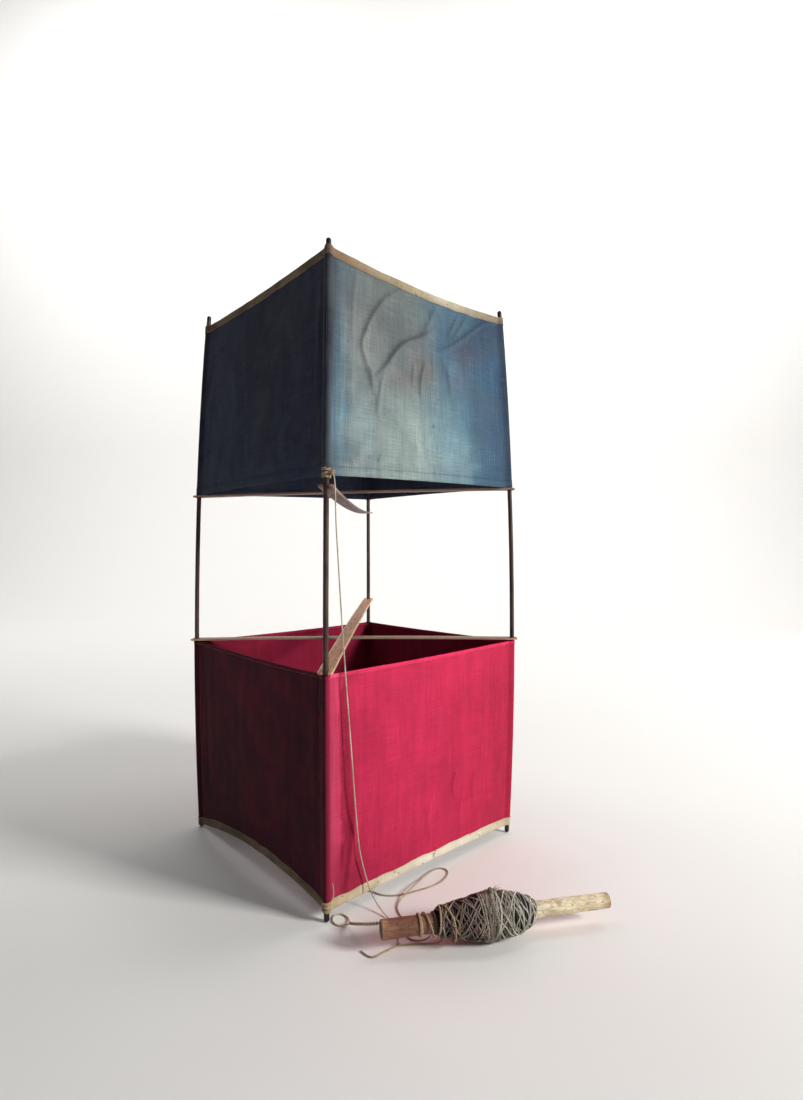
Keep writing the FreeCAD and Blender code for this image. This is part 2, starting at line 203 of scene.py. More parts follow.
# ---- shader nodes
class Tree:
    """Shorthand for wiring one shader tree."""

    def __init__(self, tree: bpy.types.NodeTree, owner: bpy.types.Material | None = None) -> None:
        """Take the tree to wire and the material that owns it."""
        self.tree = tree
        self.owner = owner

    def add(self, kind: str, **settings: object) -> bpy.types.Node:
        """A new node with its properties set."""
        node = self.tree.nodes.new(kind)
        for key, value in settings.items():
            setattr(node, key, value)
        return node

    def feed(self, socket: Socket, value: object) -> None:
        """Link or set one input."""
        if isinstance(value, Socket):
            self.tree.links.new(value, socket)
        elif isinstance(value, tuple) and len(value) == 3 and socket.type == "RGBA":
            socket.default_value = (*value, 1.0)
        else:
            socket.default_value = value

    def coordinates(self, which: str = "Object") -> Socket:
        """The piece's own coordinates, or its UV map."""
        return self.add("ShaderNodeTexCoord").outputs[which]

    def attribute(self, name: str) -> Socket:
        """A colour painted on the mesh."""
        return self.add("ShaderNodeAttribute", attribute_name=name).outputs["Color"]

    def mapped(self, vector: Socket, scale: Point,
               rotation: Point = (0, 0, 0)) -> Socket:
        """Coordinates stretched and turned.

        Args:
            vector: The coordinates.
            scale: Stretch along each axis.
            rotation: Turn about each axis, radians.

        Returns:
            The new coordinates.
        """
        node = self.add("ShaderNodeMapping")
        self.feed(node.inputs["Vector"], vector)
        node.inputs["Scale"].default_value = scale
        node.inputs["Rotation"].default_value = rotation
        return node.outputs["Vector"]

    def noise(self, vector: Socket, scale: object = 1.0, detail: float = 3.0,
              roughness: float = 0.55, distortion: float = 0.0) -> Socket:
        """Soft noise from 0 to 1.

        Args:
            vector: Where it is read.
            scale: How fine it is.
            detail: How many finer noises it holds.
            roughness: How strong those are.
            distortion: How much it is swirled.

        Returns:
            The noise.
        """
        node = self.add("ShaderNodeTexNoise")
        self.feed(node.inputs["Vector"], vector)
        self.feed(node.inputs["Scale"], scale)
        node.inputs["Detail"].default_value = detail
        node.inputs["Roughness"].default_value = roughness
        node.inputs["Distortion"].default_value = distortion
        return node.outputs["Fac"]

    def math(self, operation: str, a: object, b: object = 0.0) -> Socket:
        """One sum of two values or sockets."""
        node = self.add("ShaderNodeMath", operation=operation)
        self.feed(node.inputs[0], a)
        self.feed(node.inputs[1], b)
        return node.outputs[0]

    def between(self, value: object, low: float, high: float, to_low: float = 0.0,
                to_high: float = 1.0) -> Socket:
        """A value carried smoothly from one range to another, clipped.

        Args:
            value: What is carried.
            low: Start of its range.
            high: End of its range.
            to_low: Result at the start.
            to_high: Result at the end.

        Returns:
            The result.
        """
        node = self.add("ShaderNodeMapRange", interpolation_type="SMOOTHSTEP")
        for key, item in (("Value", value), ("From Min", low), ("From Max", high),
                          ("To Min", to_low), ("To Max", to_high)):
            self.feed(node.inputs[key], item)
        return node.outputs["Result"]

    def mix(self, share: object, a: object, b: object, blend: str = "MIX") -> Socket:
        """Two colours mixed.

        Args:
            share: How much of the second.
            a: The first colour.
            b: The second colour.
            blend: The way that they mix.

        Returns:
            The colour.
        """
        node = self.add("ShaderNodeMix", data_type="RGBA", blend_type=blend)
        self.feed(node.inputs["Factor"], share)
        self.feed(node.inputs[6], a)
        self.feed(node.inputs[7], b)
        return node.outputs[2]

    def split(self, vector: Socket) -> bpy.types.bpy_prop_collection:
        """The three parts of a vector."""
        node = self.add("ShaderNodeSeparateXYZ")
        self.feed(node.inputs[0], vector)
        return node.outputs

    def group(self, group: bpy.types.NodeTree, **values: object) -> bpy.types.bpy_prop_collection:
        """A shared effect placed with its own values; underscores stand for spaces."""
        node = self.add("ShaderNodeGroup", node_tree=group)
        for key, value in values.items():
            self.feed(node.inputs[key.replace("_", " ")], value)
        return node.outputs

    def bump(self, height: object, strength: float, distance: float) -> Socket:
        """A normal from a height.

        Args:
            height: The height.
            strength: Share of it that shows.
            distance: How far a height of 1 stands out, metres.

        Returns:
            The normal.
        """
        node = self.add("ShaderNodeBump")
        self.feed(node.inputs["Height"], height)
        node.inputs["Strength"].default_value = strength
        node.inputs["Distance"].default_value = distance
        return node.outputs["Normal"]


def shared(name: str, inputs: Sequence[tuple[str, str, object]],
           outputs: Sequence[tuple[str, str]]) -> tuple[Tree, dict, dict]:
    """An empty node group with named sockets.

    Args:
        name: The effect's name.
        inputs: Name, socket type and default of each input.
        outputs: Name and socket type of each output.

    Returns:
        The tree, its input sockets and its output sockets, by name.
    """
    tree = bpy.data.node_groups.new(name, "ShaderNodeTree")
    for label, kind, default in inputs:
        socket = tree.interface.new_socket(label, in_out="INPUT", socket_type=kind)
        if default is not None:
            socket.default_value = default
    for label, kind in outputs:
        tree.interface.new_socket(label, in_out="OUTPUT", socket_type=kind)
    wiring = Tree(tree)
    start = wiring.add("NodeGroupInput").outputs
    end = wiring.add("NodeGroupOutput").inputs
    return wiring, {i[0]: start[i[0]] for i in inputs}, {o[0]: end[o[0]] for o in outputs}


VECTOR, NUMBER = "NodeSocketVector", "NodeSocketFloat"
BLACK: Colour = (0.0, 0.0, 0.0)


class Effects:
    """The effects that several finishes share, each built once."""

    def __init__(self) -> None:
        """Build the four groups."""
        self.weave = self._weave()
        self.grime = self._grime()
        self.grain = self._grain()
        self.lay = self._lay()

    @staticmethod
    def _weave() -> bpy.types.NodeTree:
        """Plain weave with slubs: threads over and under, thick and thin."""
        t, i, o = shared(
            "weave", (("Vector", VECTOR, None), ("Threads", NUMBER, 1800.0)),
            (("Height", NUMBER), ("Slub", NUMBER)),
        )
        part = t.split(i["Vector"])
        over = t.math("SINE", t.math("MULTIPLY", part[0], i["Threads"]))
        under = t.math("SINE", t.math("MULTIPLY", part[1], i["Threads"]))
        t.feed(o["Height"], t.math("MULTIPLY", over, under))
        weft = t.noise(t.mapped(i["Vector"], (22, 760, 1)), 1.0, 3.0, 0.62)
        warp = t.noise(t.mapped(i["Vector"], (620, 16, 1)), 1.0, 3.0, 0.62)
        t.feed(o["Slub"], t.math("MULTIPLY", t.math("ADD", weft, warp), 0.5))
        return t.tree

    @staticmethod
    def _grime() -> bpy.types.NodeTree:
        """Uneven dirt: broad clouds and small spots."""
        t, i, o = shared(
            "grime", (("Vector", VECTOR, None), ("Clouds", NUMBER, 14.0), ("Spots", NUMBER, 150.0)),
            (("Cloud", NUMBER), ("Spot", NUMBER)),
        )
        cloud = t.noise(i["Vector"], i["Clouds"], 5.0, 0.6, 0.6)
        t.feed(o["Cloud"], t.between(cloud, 0.36, 0.66))
        t.feed(o["Spot"], t.between(t.noise(i["Vector"], i["Spots"], 2.0, 0.5), 0.63, 0.72))
        return t.tree

    @staticmethod
    def _grain() -> bpy.types.NodeTree:
        """Wood's grain, running along the vector's Z."""
        t, i, o = shared(
            "grain", (("Vector", VECTOR, None), ("Scale", NUMBER, 1.0)),
            (("Figure", NUMBER), ("Pores", NUMBER)),
        )
        figure = t.noise(t.mapped(i["Vector"], (240, 240, 9)), i["Scale"], 5.0, 0.62, 1.4)
        pores = t.noise(t.mapped(i["Vector"], (1500, 1500, 40)), i["Scale"], 2.0, 0.5)
        t.feed(o["Figure"], t.between(figure, 0.28, 0.72))
        t.feed(o["Pores"], pores)
        return t.tree

    @staticmethod
    def _lay() -> bpy.types.NodeTree:
        """The twist of a laid twine: U runs along it and V round it."""
        t, i, o = shared(
            "lay", (("Vector", VECTOR, None), ("Turns", NUMBER, 170.0), ("Plies", NUMBER, 2.0)),
            (("Height", NUMBER), ("Fibre", NUMBER)),
        )
        part = t.split(i["Vector"])
        along = t.math("MULTIPLY", part[0], i["Turns"])
        phase = t.math("ADD", along, t.math("MULTIPLY", part[1], i["Plies"]))
        t.feed(o["Height"], t.math("ABSOLUTE", t.math("SINE", t.math("MULTIPLY", phase, math.pi))))
        t.feed(o["Fibre"], t.noise(t.mapped(i["Vector"], (700, 9, 1)), 1.0, 3.0, 0.6))
        return t.tree


EFFECTS = Effects()


def principled(name: str) -> tuple[Tree, bpy.types.Node]:
    """A material's tree with its Principled shader wired to the output."""
    material = bpy.data.materials.new(name)
    material.use_nodes = True
    material.node_tree.nodes.clear()
    tree = Tree(material.node_tree, material)
    shader = tree.add("ShaderNodeBsdfPrincipled")
    output = tree.add("ShaderNodeOutputMaterial")
    tree.feed(output.inputs["Surface"], shader.outputs["BSDF"])
    return tree, shader


# ---- finishes
@dataclass(frozen=True)
class ClothFinish:
    """Plain-weave cotton, coloured as its mesh is painted, painted shade included on some panels."""

    name: str
    slot: str
    worn: Colour
    slub_depth: float = 0.30
    cloud: Colour = rgb(70, 62, 58)
    cloud_share: float = 0.10
    spot: Colour = rgb(70, 52, 40)
    spot_share: float = 0.0
    threads: float = 5200.0
    sheen: float = 0.03

    def material(self) -> bpy.types.Material:
        """The finish as a material."""
        t, shader = principled(self.name)
        flat = t.coordinates("UV")
        place = t.coordinates()
        weave = t.group(EFFECTS.weave, Vector=flat, Threads=self.threads)
        grime = t.group(EFFECTS.grime, Vector=place)
        dye_and_shade = t.attribute("dye_and_shade")
        slub = t.between(weave["Slub"], 0.34, 0.66)
        dull = t.mix(slub, t.mix(self.slub_depth, dye_and_shade, BLACK), dye_and_shade)
        rubbed = t.mix(t.math("MULTIPLY", t.between(weave["Slub"], 0.56, 0.74), self.slub_depth * 0.9),
                       dull, self.worn)
        dirty = t.mix(t.math("MULTIPLY", grime["Cloud"], self.cloud_share), rubbed, self.cloud)
        spotted = t.mix(t.math("MULTIPLY", grime["Spot"], self.spot_share), dirty, self.spot)
        t.feed(shader.inputs["Base Color"], spotted)
        t.feed(shader.inputs["Roughness"], t.between(weave["Slub"], 0.3, 0.7, 0.96, 0.84))
        height = t.math("ADD", t.math("MULTIPLY", weave["Height"], 0.25), weave["Slub"])
        t.feed(shader.inputs["Normal"], t.bump(height, 0.55, 0.0005))
        shader.inputs["Sheen Weight"].default_value = self.sheen
        shader.inputs["Sheen Roughness"].default_value = 0.5
        shader.inputs["Specular IOR Level"].default_value = 0.2
        return t.owner


class Grain(Enum):
    """The way that a piece's grain runs."""

    UPRIGHT = (0.0, 0.0, 0.0)
    SIDEWAYS = (0.0, -math.pi / 2, 0.0)
    FRONT_TO_BACK = (math.pi / 2, 0.0, 0.0)


@dataclass(frozen=True)
class WoodFinish:
    """Planed or barked wood with worn patches."""

    name: str
    slot: str
    dark: Colour
    light: Colour
    worn: Colour
    grain: Grain = Grain.UPRIGHT
    worn_share: float = 0.35
    roughness: float = 0.55
    relief: float = 0.0002
    edge_half_width: float = 0.0
    edge: Colour = BLACK
    dark_ends: bool = False

    def material(self) -> bpy.types.Material:
        """The finish as a material."""
        t, shader = principled(self.name)
        place = t.coordinates()
        turned = t.mapped(place, (1, 1, 1), self.grain.value)
        grain = t.group(EFFECTS.grain, Vector=turned, Scale=1.0)
        grime = t.group(EFFECTS.grime, Vector=place, Clouds=22.0, Spots=260.0)
        figured = t.mix(grain["Figure"], self.dark, self.light)
        worn = t.mix(t.math("MULTIPLY", grime["Cloud"], self.worn_share), figured, self.worn)
        specked = t.mix(t.math("MULTIPLY", grime["Spot"], 0.6), worn, self.dark)
        if self.edge_half_width:
            away = t.math("ABSOLUTE", t.split(turned)[1 if self.grain is Grain.SIDEWAYS else 0])
            rub = t.between(away, self.edge_half_width - 0.0022, self.edge_half_width - 0.0004)
            rub = t.math("MULTIPLY", rub, t.between(grain["Pores"], 0.3, 0.6, 0.35, 0.85))
            specked = t.mix(rub, specked, self.edge)
        if self.dark_ends:
            from_middle = t.math("ABSOLUTE", t.math("SUBTRACT", t.split(place)[2], BOW.length / 2))
            handled = t.between(from_middle, BOW.length / 2 - 0.022, BOW.length / 2 - 0.006, 0.0, 0.85)
            specked = t.mix(handled, specked, rgb(22, 17, 18))
        t.feed(shader.inputs["Base Color"], specked)
        t.feed(shader.inputs["Roughness"],
               t.between(grain["Figure"], 0.0, 1.0, self.roughness + 0.12, self.roughness - 0.05))
        height = t.math("ADD", grain["Figure"], t.math("MULTIPLY", grain["Pores"], 0.6))
        t.feed(shader.inputs["Normal"], t.bump(height, 0.5, self.relief))
        shader.inputs["Specular IOR Level"].default_value = 0.35
        return t.owner


@dataclass(frozen=True)
class TwineFinish:
    """Laid twine, coloured as its mesh is painted and soiled in patches; a laid twine's grooves also get
    painted shade.
    """

    name: str
    slot: str
    dirt_and_shade: Colour
    soil_share: float = 0.5
    turns: float = 170.0
    plies: float = 2.0
    laid: bool = False

    def material(self) -> bpy.types.Material:
        """The finish as a material."""
        t, shader = principled(self.name)
        lay = t.group(EFFECTS.lay, Vector=t.coordinates("UV"), Turns=self.turns, Plies=self.plies)
        grime = t.group(EFFECTS.grime, Vector=t.coordinates(), Clouds=60.0, Spots=420.0)
        dye_and_shade = t.attribute("dye_and_shade")
        fibre = t.mix(t.between(lay["Fibre"], 0.3, 0.7), t.mix(0.45, dye_and_shade, BLACK), dye_and_shade)
        if self.laid:
            # Painted shade: the grooves between the plies are darkened towards black.
            groove = t.between(lay["Height"], 0.0, 0.5, 0.7, 0.0)
            fibre = t.mix(groove, fibre, t.mix(0.75, dye_and_shade, BLACK))
        soiled = t.mix(t.math("MULTIPLY", grime["Cloud"], self.soil_share), fibre, self.dirt_and_shade)
        t.feed(shader.inputs["Base Color"], soiled)
        shader.inputs["Roughness"].default_value = 0.85
        height = t.math("ADD", lay["Height"], lay["Fibre"]) if self.laid else lay["Fibre"]
        t.feed(shader.inputs["Normal"], t.bump(height, 0.8, 0.0004))
        shader.inputs["Specular IOR Level"].default_value = 0.25
        return t.owner


# ---- dyes and finishes in use
@dataclass(frozen=True)
class Stain:
    """A soft patch of another colour on a panel, placed in shares of its width and height."""

    across: float
    up: float
    width: float
    height: float
    tint: Colour
    strength: float


@dataclass(frozen=True)
class DyeAndShade:
    """A cloth's colour, and on some panels painted shade: bands across it and stains over them."""

    bands: tuple[tuple[float, Colour], ...]
    stains: tuple[Stain, ...] = ()
    wander: float = 0.02
    streak: float = 0.05

    def painted(self, across: np.ndarray, up: np.ndarray) -> np.ndarray:
        """The colour at points given in shares of the panel's width and height.

        Args:
            across: Share of the width.
            up: Share of the height.

        Returns:
            The colours, with their parts on the last axis.
        """
        broad, fine = patches(across, up, 0.10, 3), patches(across, up, 0.035, 4)
        wobble = self.wander * broad + 0.4 * self.wander * fine
        wobble = wobble * smooth(across / 0.10) * smooth((1.02 - across) / 0.06)
        stations = [band[0] for band in self.bands]
        place = across + wobble
        colour = np.stack(
            [np.interp(place, stations, [band[1][c] for band in self.bands]) for c in range(3)], axis=-1
        )
        for number, stain in enumerate(self.stains):
            dx = (across - stain.across + 1.6 * wobble) / stain.width
            dy = (up - stain.up + 1.2 * self.wander * patches(up, across, 0.08, 20 + number)) / stain.height
            share = stain.strength * np.exp(-(dx * dx + dy * dy))[..., None]
            colour = colour * (1 - share) + np.array(stain.tint) * share
        lines = 1 + self.streak * patches(across * 30, up * 1.5, 0.5, 11) * 1.6
        return np.clip(colour * lines[..., None], 0.0, 1.0)


NAVY = rgb(50, 54, 82)
DEEP_CRIMSON = rgb(142, 22, 54)
CREAM = rgb(226, 216, 194)
TWINE_TAN = rgb(196, 168, 130)
TWINE_PALE = rgb(218, 202, 176)

# Painted shade: the bands nearest the near corner, up to about 0.03 of the width, are darker than the unfaded
# navy, standing in for the shade where the cloth turns round the stick.
INDIGO_FADED = DyeAndShade(
    bands=(
        (-0.03, rgb(20, 20, 28)), (0.006, rgb(26, 27, 38)), (0.020, rgb(36, 40, 54)),
        (0.034, rgb(70, 90, 108)),
        (0.055, rgb(92, 118, 132)), (0.085, rgb(108, 130, 138)), (0.13, rgb(118, 130, 132)),
        (0.19, rgb(112, 122, 122)), (0.30, rgb(114, 126, 126)), (0.42, rgb(118, 130, 130)),
        (0.50, rgb(106, 128, 136)), (0.58, rgb(90, 122, 138)), (0.70, rgb(78, 110, 130)),
        (0.80, rgb(66, 98, 122)), (0.93, rgb(62, 92, 118)), (0.985, rgb(52, 74, 98)), (1.03, rgb(36, 44, 60)),
    ),
    stains=(
        Stain(0.38, 0.12, 0.24, 0.26, rgb(168, 186, 180), 0.75),
        Stain(0.16, 0.24, 0.05, 0.22, rgb(150, 172, 178), 0.6),
        Stain(0.62, 0.10, 0.10, 0.30, rgb(134, 168, 180), 0.6),
        Stain(0.045, 0.22, 0.035, 0.25, rgb(120, 152, 166), 0.7),
        Stain(0.28, 0.80, 0.20, 0.20, rgb(108, 114, 112), 0.75),
        Stain(0.46, 0.60, 0.09, 0.12, rgb(112, 106, 106), 0.8),
        Stain(0.33, 0.50, 0.08, 0.07, rgb(122, 112, 112), 0.6),
        Stain(0.17, 0.62, 0.07, 0.26, rgb(142, 146, 142), 0.6),
        Stain(0.52, 0.72, 0.05, 0.18, rgb(112, 122, 122), 0.4),
        Stain(0.60, 0.80, 0.09, 0.18, rgb(72, 104, 126), 0.75),
        Stain(0.74, 0.74, 0.10, 0.09, rgb(82, 84, 104), 0.75),
        Stain(0.84, 0.80, 0.14, 0.09, rgb(62, 78, 98), 0.7),
        Stain(0.93, 0.92, 0.12, 0.10, rgb(58, 72, 90), 0.7),
        Stain(0.66, 0.56, 0.05, 0.07, rgb(96, 98, 124), 0.6),
        Stain(0.06, 0.86, 0.07, 0.14, rgb(90, 92, 100), 0.5),
        Stain(0.10, 0.05, 0.04, 0.02, rgb(190, 200, 190), 0.6),
        Stain(0.53, 0.30, 0.008, 0.009, rgb(56, 70, 76), 0.8),
        Stain(0.235, 0.075, 0.008, 0.012, rgb(50, 66, 74), 0.7),
    ),
)
INDIGO = DyeAndShade(
    bands=((-0.03, rgb(38, 40, 60)), (0.1, NAVY), (0.5, rgb(46, 50, 72)), (0.9, NAVY),
           (1.03, rgb(44, 46, 66))),
    stains=(
        Stain(0.3, 0.25, 0.2, 0.3, rgb(58, 66, 92), 0.5),
        Stain(0.7, 0.7, 0.25, 0.2, rgb(44, 46, 64), 0.6),
        Stain(0.5, 0.05, 0.6, 0.05, rgb(60, 70, 96), 0.5),
    ),
)
# Painted light and shade: next to the near corner the bands are dark where the cloth turns round the stick,
# pale at about 0.03 of the width over the fold's ridge and dark at about 0.075 in its trough.
CRIMSON_FRONT = DyeAndShade(
    bands=(
        (-0.03, rgb(96, 14, 36)), (0.006, rgb(132, 24, 54)), (0.018, rgb(186, 50, 86)),
        (0.034, rgb(208, 70, 104)),
        (0.055, rgb(206, 52, 92)), (0.075, rgb(150, 26, 58)), (0.10, rgb(186, 40, 76)),
        (0.16, rgb(198, 40, 80)), (0.45, rgb(208, 42, 84)), (0.72, rgb(200, 38, 78)),
        (1.03, rgb(186, 34, 70)),
    ),
    stains=(
        Stain(0.08, 0.06, 0.09, 0.16, rgb(150, 30, 60), 0.7),
        Stain(0.5, 0.95, 0.5, 0.16, rgb(214, 46, 88), 0.5),
        Stain(0.62, 0.42, 0.12, 0.16, rgb(178, 32, 68), 0.45),
        Stain(0.30, 0.10, 0.2, 0.10, rgb(184, 36, 74), 0.5),
        Stain(0.9, 0.5, 0.1, 0.5, rgb(182, 34, 68), 0.4),
    ),
    streak=0.04,
)
CRIMSON_PLAIN = DyeAndShade(
    bands=((-0.03, rgb(104, 14, 36)), (0.05, DEEP_CRIMSON), (0.5, rgb(146, 24, 58)),
           (1.03, rgb(112, 16, 40))),
    stains=(Stain(0.3, 0.3, 0.3, 0.3, rgb(124, 18, 46), 0.5),
            Stain(0.8, 0.7, 0.2, 0.3, rgb(156, 28, 62), 0.4)),
)
# Painted shade: the front-left panel's crimson, painted far darker than the other sides to stand in for that
# side lying in shade.
CRIMSON_SHADED = DyeAndShade(
    bands=((-0.03, rgb(42, 6, 19)), (0.06, rgb(58, 9, 26)), (0.5, rgb(68, 11, 31)), (1.03, rgb(50, 8, 24))),
    stains=(Stain(0.4, 0.9, 0.5, 0.2, rgb(80, 14, 38), 0.6), Stain(0.3, 0.2, 0.3, 0.3, rgb(52, 8, 25), 0.5)),
)
TAPE = DyeAndShade(
    bands=((-0.03, rgb(176, 156, 124)), (0.05, rgb(214, 198, 166)), (0.3, CREAM), (0.7, rgb(232, 226, 208)),
           (1.03, rgb(196, 182, 152))),
    stains=(
        Stain(0.10, 0.5, 0.03, 1.0, rgb(150, 124, 84), 0.5),
        Stain(0.19, 0.2, 0.04, 0.5, rgb(132, 108, 72), 0.6),
        Stain(0.28, 0.8, 0.03, 0.6, rgb(160, 140, 100), 0.45),
        Stain(0.03, 0.5, 0.04, 1.0, rgb(140, 112, 76), 0.5),
    ),
)
TAPE_OLD = DyeAndShade(
    bands=((-0.03, rgb(78, 60, 50)), (0.04, rgb(128, 106, 90)), (0.12, rgb(140, 122, 100)),
           (0.22, rgb(152, 138, 116)), (0.42, rgb(166, 154, 132)), (0.62, rgb(186, 178, 158)),
           (0.8, rgb(156, 146, 128)), (1.03, rgb(112, 100, 86))),
    stains=(Stain(0.08, 0.5, 0.06, 1.0, rgb(112, 82, 68), 0.6),
            Stain(0.35, 0.5, 0.05, 0.8, rgb(140, 118, 88), 0.5)),
)
# Painted shade: the front-left panels' tape, painted darker and browner than the rest of the tape to stand in
# for that side lying in shade.
TAPE_SHADED = DyeAndShade(
    bands=((-0.03, rgb(72, 58, 50)), (0.2, rgb(104, 88, 76)), (0.6, rgb(116, 100, 84)),
           (1.03, rgb(84, 68, 58))),
    stains=(Stain(0.4, 0.5, 0.1, 0.8, rgb(86, 68, 54), 0.5),
            Stain(0.75, 0.5, 0.06, 0.8, rgb(128, 112, 92), 0.5)),
)


@dataclass(frozen=True)
class Finishes:
    """Every finish, made once."""

    indigo: ClothFinish = ClothFinish("faded_indigo", "indigo_cotton", rgb(176, 190, 184), 0.34,
                                      rgb(74, 80, 86), 0.34, rgb(60, 62, 66), 0.25)
    crimson: ClothFinish = ClothFinish("dyed_crimson", "crimson_cotton", rgb(212, 62, 96), 0.26,
                                       rgb(120, 20, 44), 0.22, rgb(110, 20, 40), 0.12)
    tape: ClothFinish = ClothFinish("woven_tape", "cream_tape", rgb(244, 240, 226), 0.16,
                                    rgb(178, 156, 114), 0.30, rgb(112, 84, 50), 0.75, 4600.0, 0.05)
    sticks: WoodFinish = WoodFinish("dark_stick", "longeron_wood", rgb(32, 20, 20), rgb(72, 47, 43),
                                    rgb(108, 84, 76), Grain.UPRIGHT, 0.30, 0.42, dark_ends=True)
    tan: WoodFinish = WoodFinish("tan_slat", "tan_wood", rgb(128, 82, 58), rgb(190, 134, 98),
                                 rgb(200, 156, 122), Grain.FRONT_TO_BACK, 0.35, 0.5, 0.00025, 0.010,
                                 rgb(222, 196, 158))
    tan_cross: WoodFinish = WoodFinish("tan_cross_slat", "tan_wood", rgb(98, 66, 56), rgb(158, 116, 98),
                                       rgb(170, 134, 116), Grain.SIDEWAYS, 0.35, 0.5, 0.00025, 0.010,
                                       rgb(196, 164, 138))
    brown: WoodFinish = WoodFinish("brown_slat", "brown_wood", rgb(62, 38, 34), rgb(116, 82, 76),
                                   rgb(140, 110, 104), Grain.FRONT_TO_BACK, 0.35, 0.5, 0.00025, 0.010,
                                   rgb(176, 138, 116))
    brown_cross: WoodFinish = WoodFinish("brown_cross_slat", "brown_wood", rgb(70, 44, 38), rgb(128, 92, 80),
                                         rgb(150, 116, 102), Grain.SIDEWAYS, 0.35, 0.5, 0.00025, 0.010,
                                         rgb(170, 134, 114))
    twine: TwineFinish = TwineFinish("plied_flax", "flax_twine", rgb(104, 78, 56), 0.28)
    wound: TwineFinish = TwineFinish("wound_flax", "wound_twine", rgb(48, 38, 34), 0.40, 380.0, 2.0, True)


FINISHES = Finishes()
MATERIALS: dict[str, bpy.types.Material] = {}


def dressed(finish: "Finish") -> bpy.types.Material:
    """The material of a finish, made when first asked for."""
    if finish.name not in MATERIALS:
        MATERIALS[finish.name] = finish.material()
    return MATERIALS[finish.name]


def settled(piece: Piece, body: str,
            stands_for: Iterable[str] = ()) -> Piece:
    """Put a piece on its body and hide the nodes it stands for.

    Args:
        piece: The finished piece.
        body: The body it rides on.
        stands_for: The plain nodes that it replaces.

    Returns:
        The same piece.
    """
    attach(piece, body)
    if stands_for:
        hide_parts(*stands_for)
    log.info("%s rides on %s", piece.name, body)
    return piece


# ---- frame geometry
@dataclass(frozen=True)
class Bow:
    """The bow that the four corner sticks share."""

    length: float = 0.914
    half_diagonal: float = 0.280
    top_inset: float = 0.021
    foot_inset: float = 0.009
    stick_radius: float = 0.00375

    def circle(self) -> Point:
        """Centre across, centre up and radius of the bow's circle."""
        a = (self.half_diagonal - self.foot_inset, 0.0)
        b = (self.half_diagonal, self.length / 2)
        c = (self.half_diagonal - self.top_inset, self.length)
        d = 2 * (a[0] * (b[1] - c[1]) + b[0] * (c[1] - a[1]) + c[0] * (a[1] - b[1]))
        aa, bb, cc = (p[0] ** 2 + p[1] ** 2 for p in (a, b, c))
        x = (aa * (b[1] - c[1]) + bb * (c[1] - a[1]) + cc * (a[1] - b[1])) / d
        z = (aa * (c[0] - b[0]) + bb * (a[0] - c[0]) + cc * (b[0] - a[0])) / d
        return x, z, math.hypot(a[0] - x, a[1] - z)

    def reach(self, z: np.ndarray) -> np.ndarray:
        """Distance from the kite's axis to a stick's centre."""
        x, middle, radius = self.circle()
        return x + np.sqrt(radius**2 - (np.asarray(z) - middle) ** 2)


BOW = Bow()


class Corner(Enum):
    """The four corners, by their direction from the kite's axis in degrees from +X."""

    NEAR = 270.0
    RIGHT = 0.0
    BACK = 90.0
    LEFT = 180.0

    def direction(self) -> np.ndarray:
        """Unit vector from the axis to the corner."""
        a = math.radians(self.value)
        return np.array([math.cos(a), math.sin(a), 0.0])


class Side(Enum):
    """The four panels, by their first and second corner."""

    FRONT_RIGHT = (Corner.NEAR, Corner.RIGHT)
    BACK_RIGHT = (Corner.RIGHT, Corner.BACK)
    BACK_LEFT = (Corner.BACK, Corner.LEFT)
    FRONT_LEFT = (Corner.LEFT, Corner.NEAR)


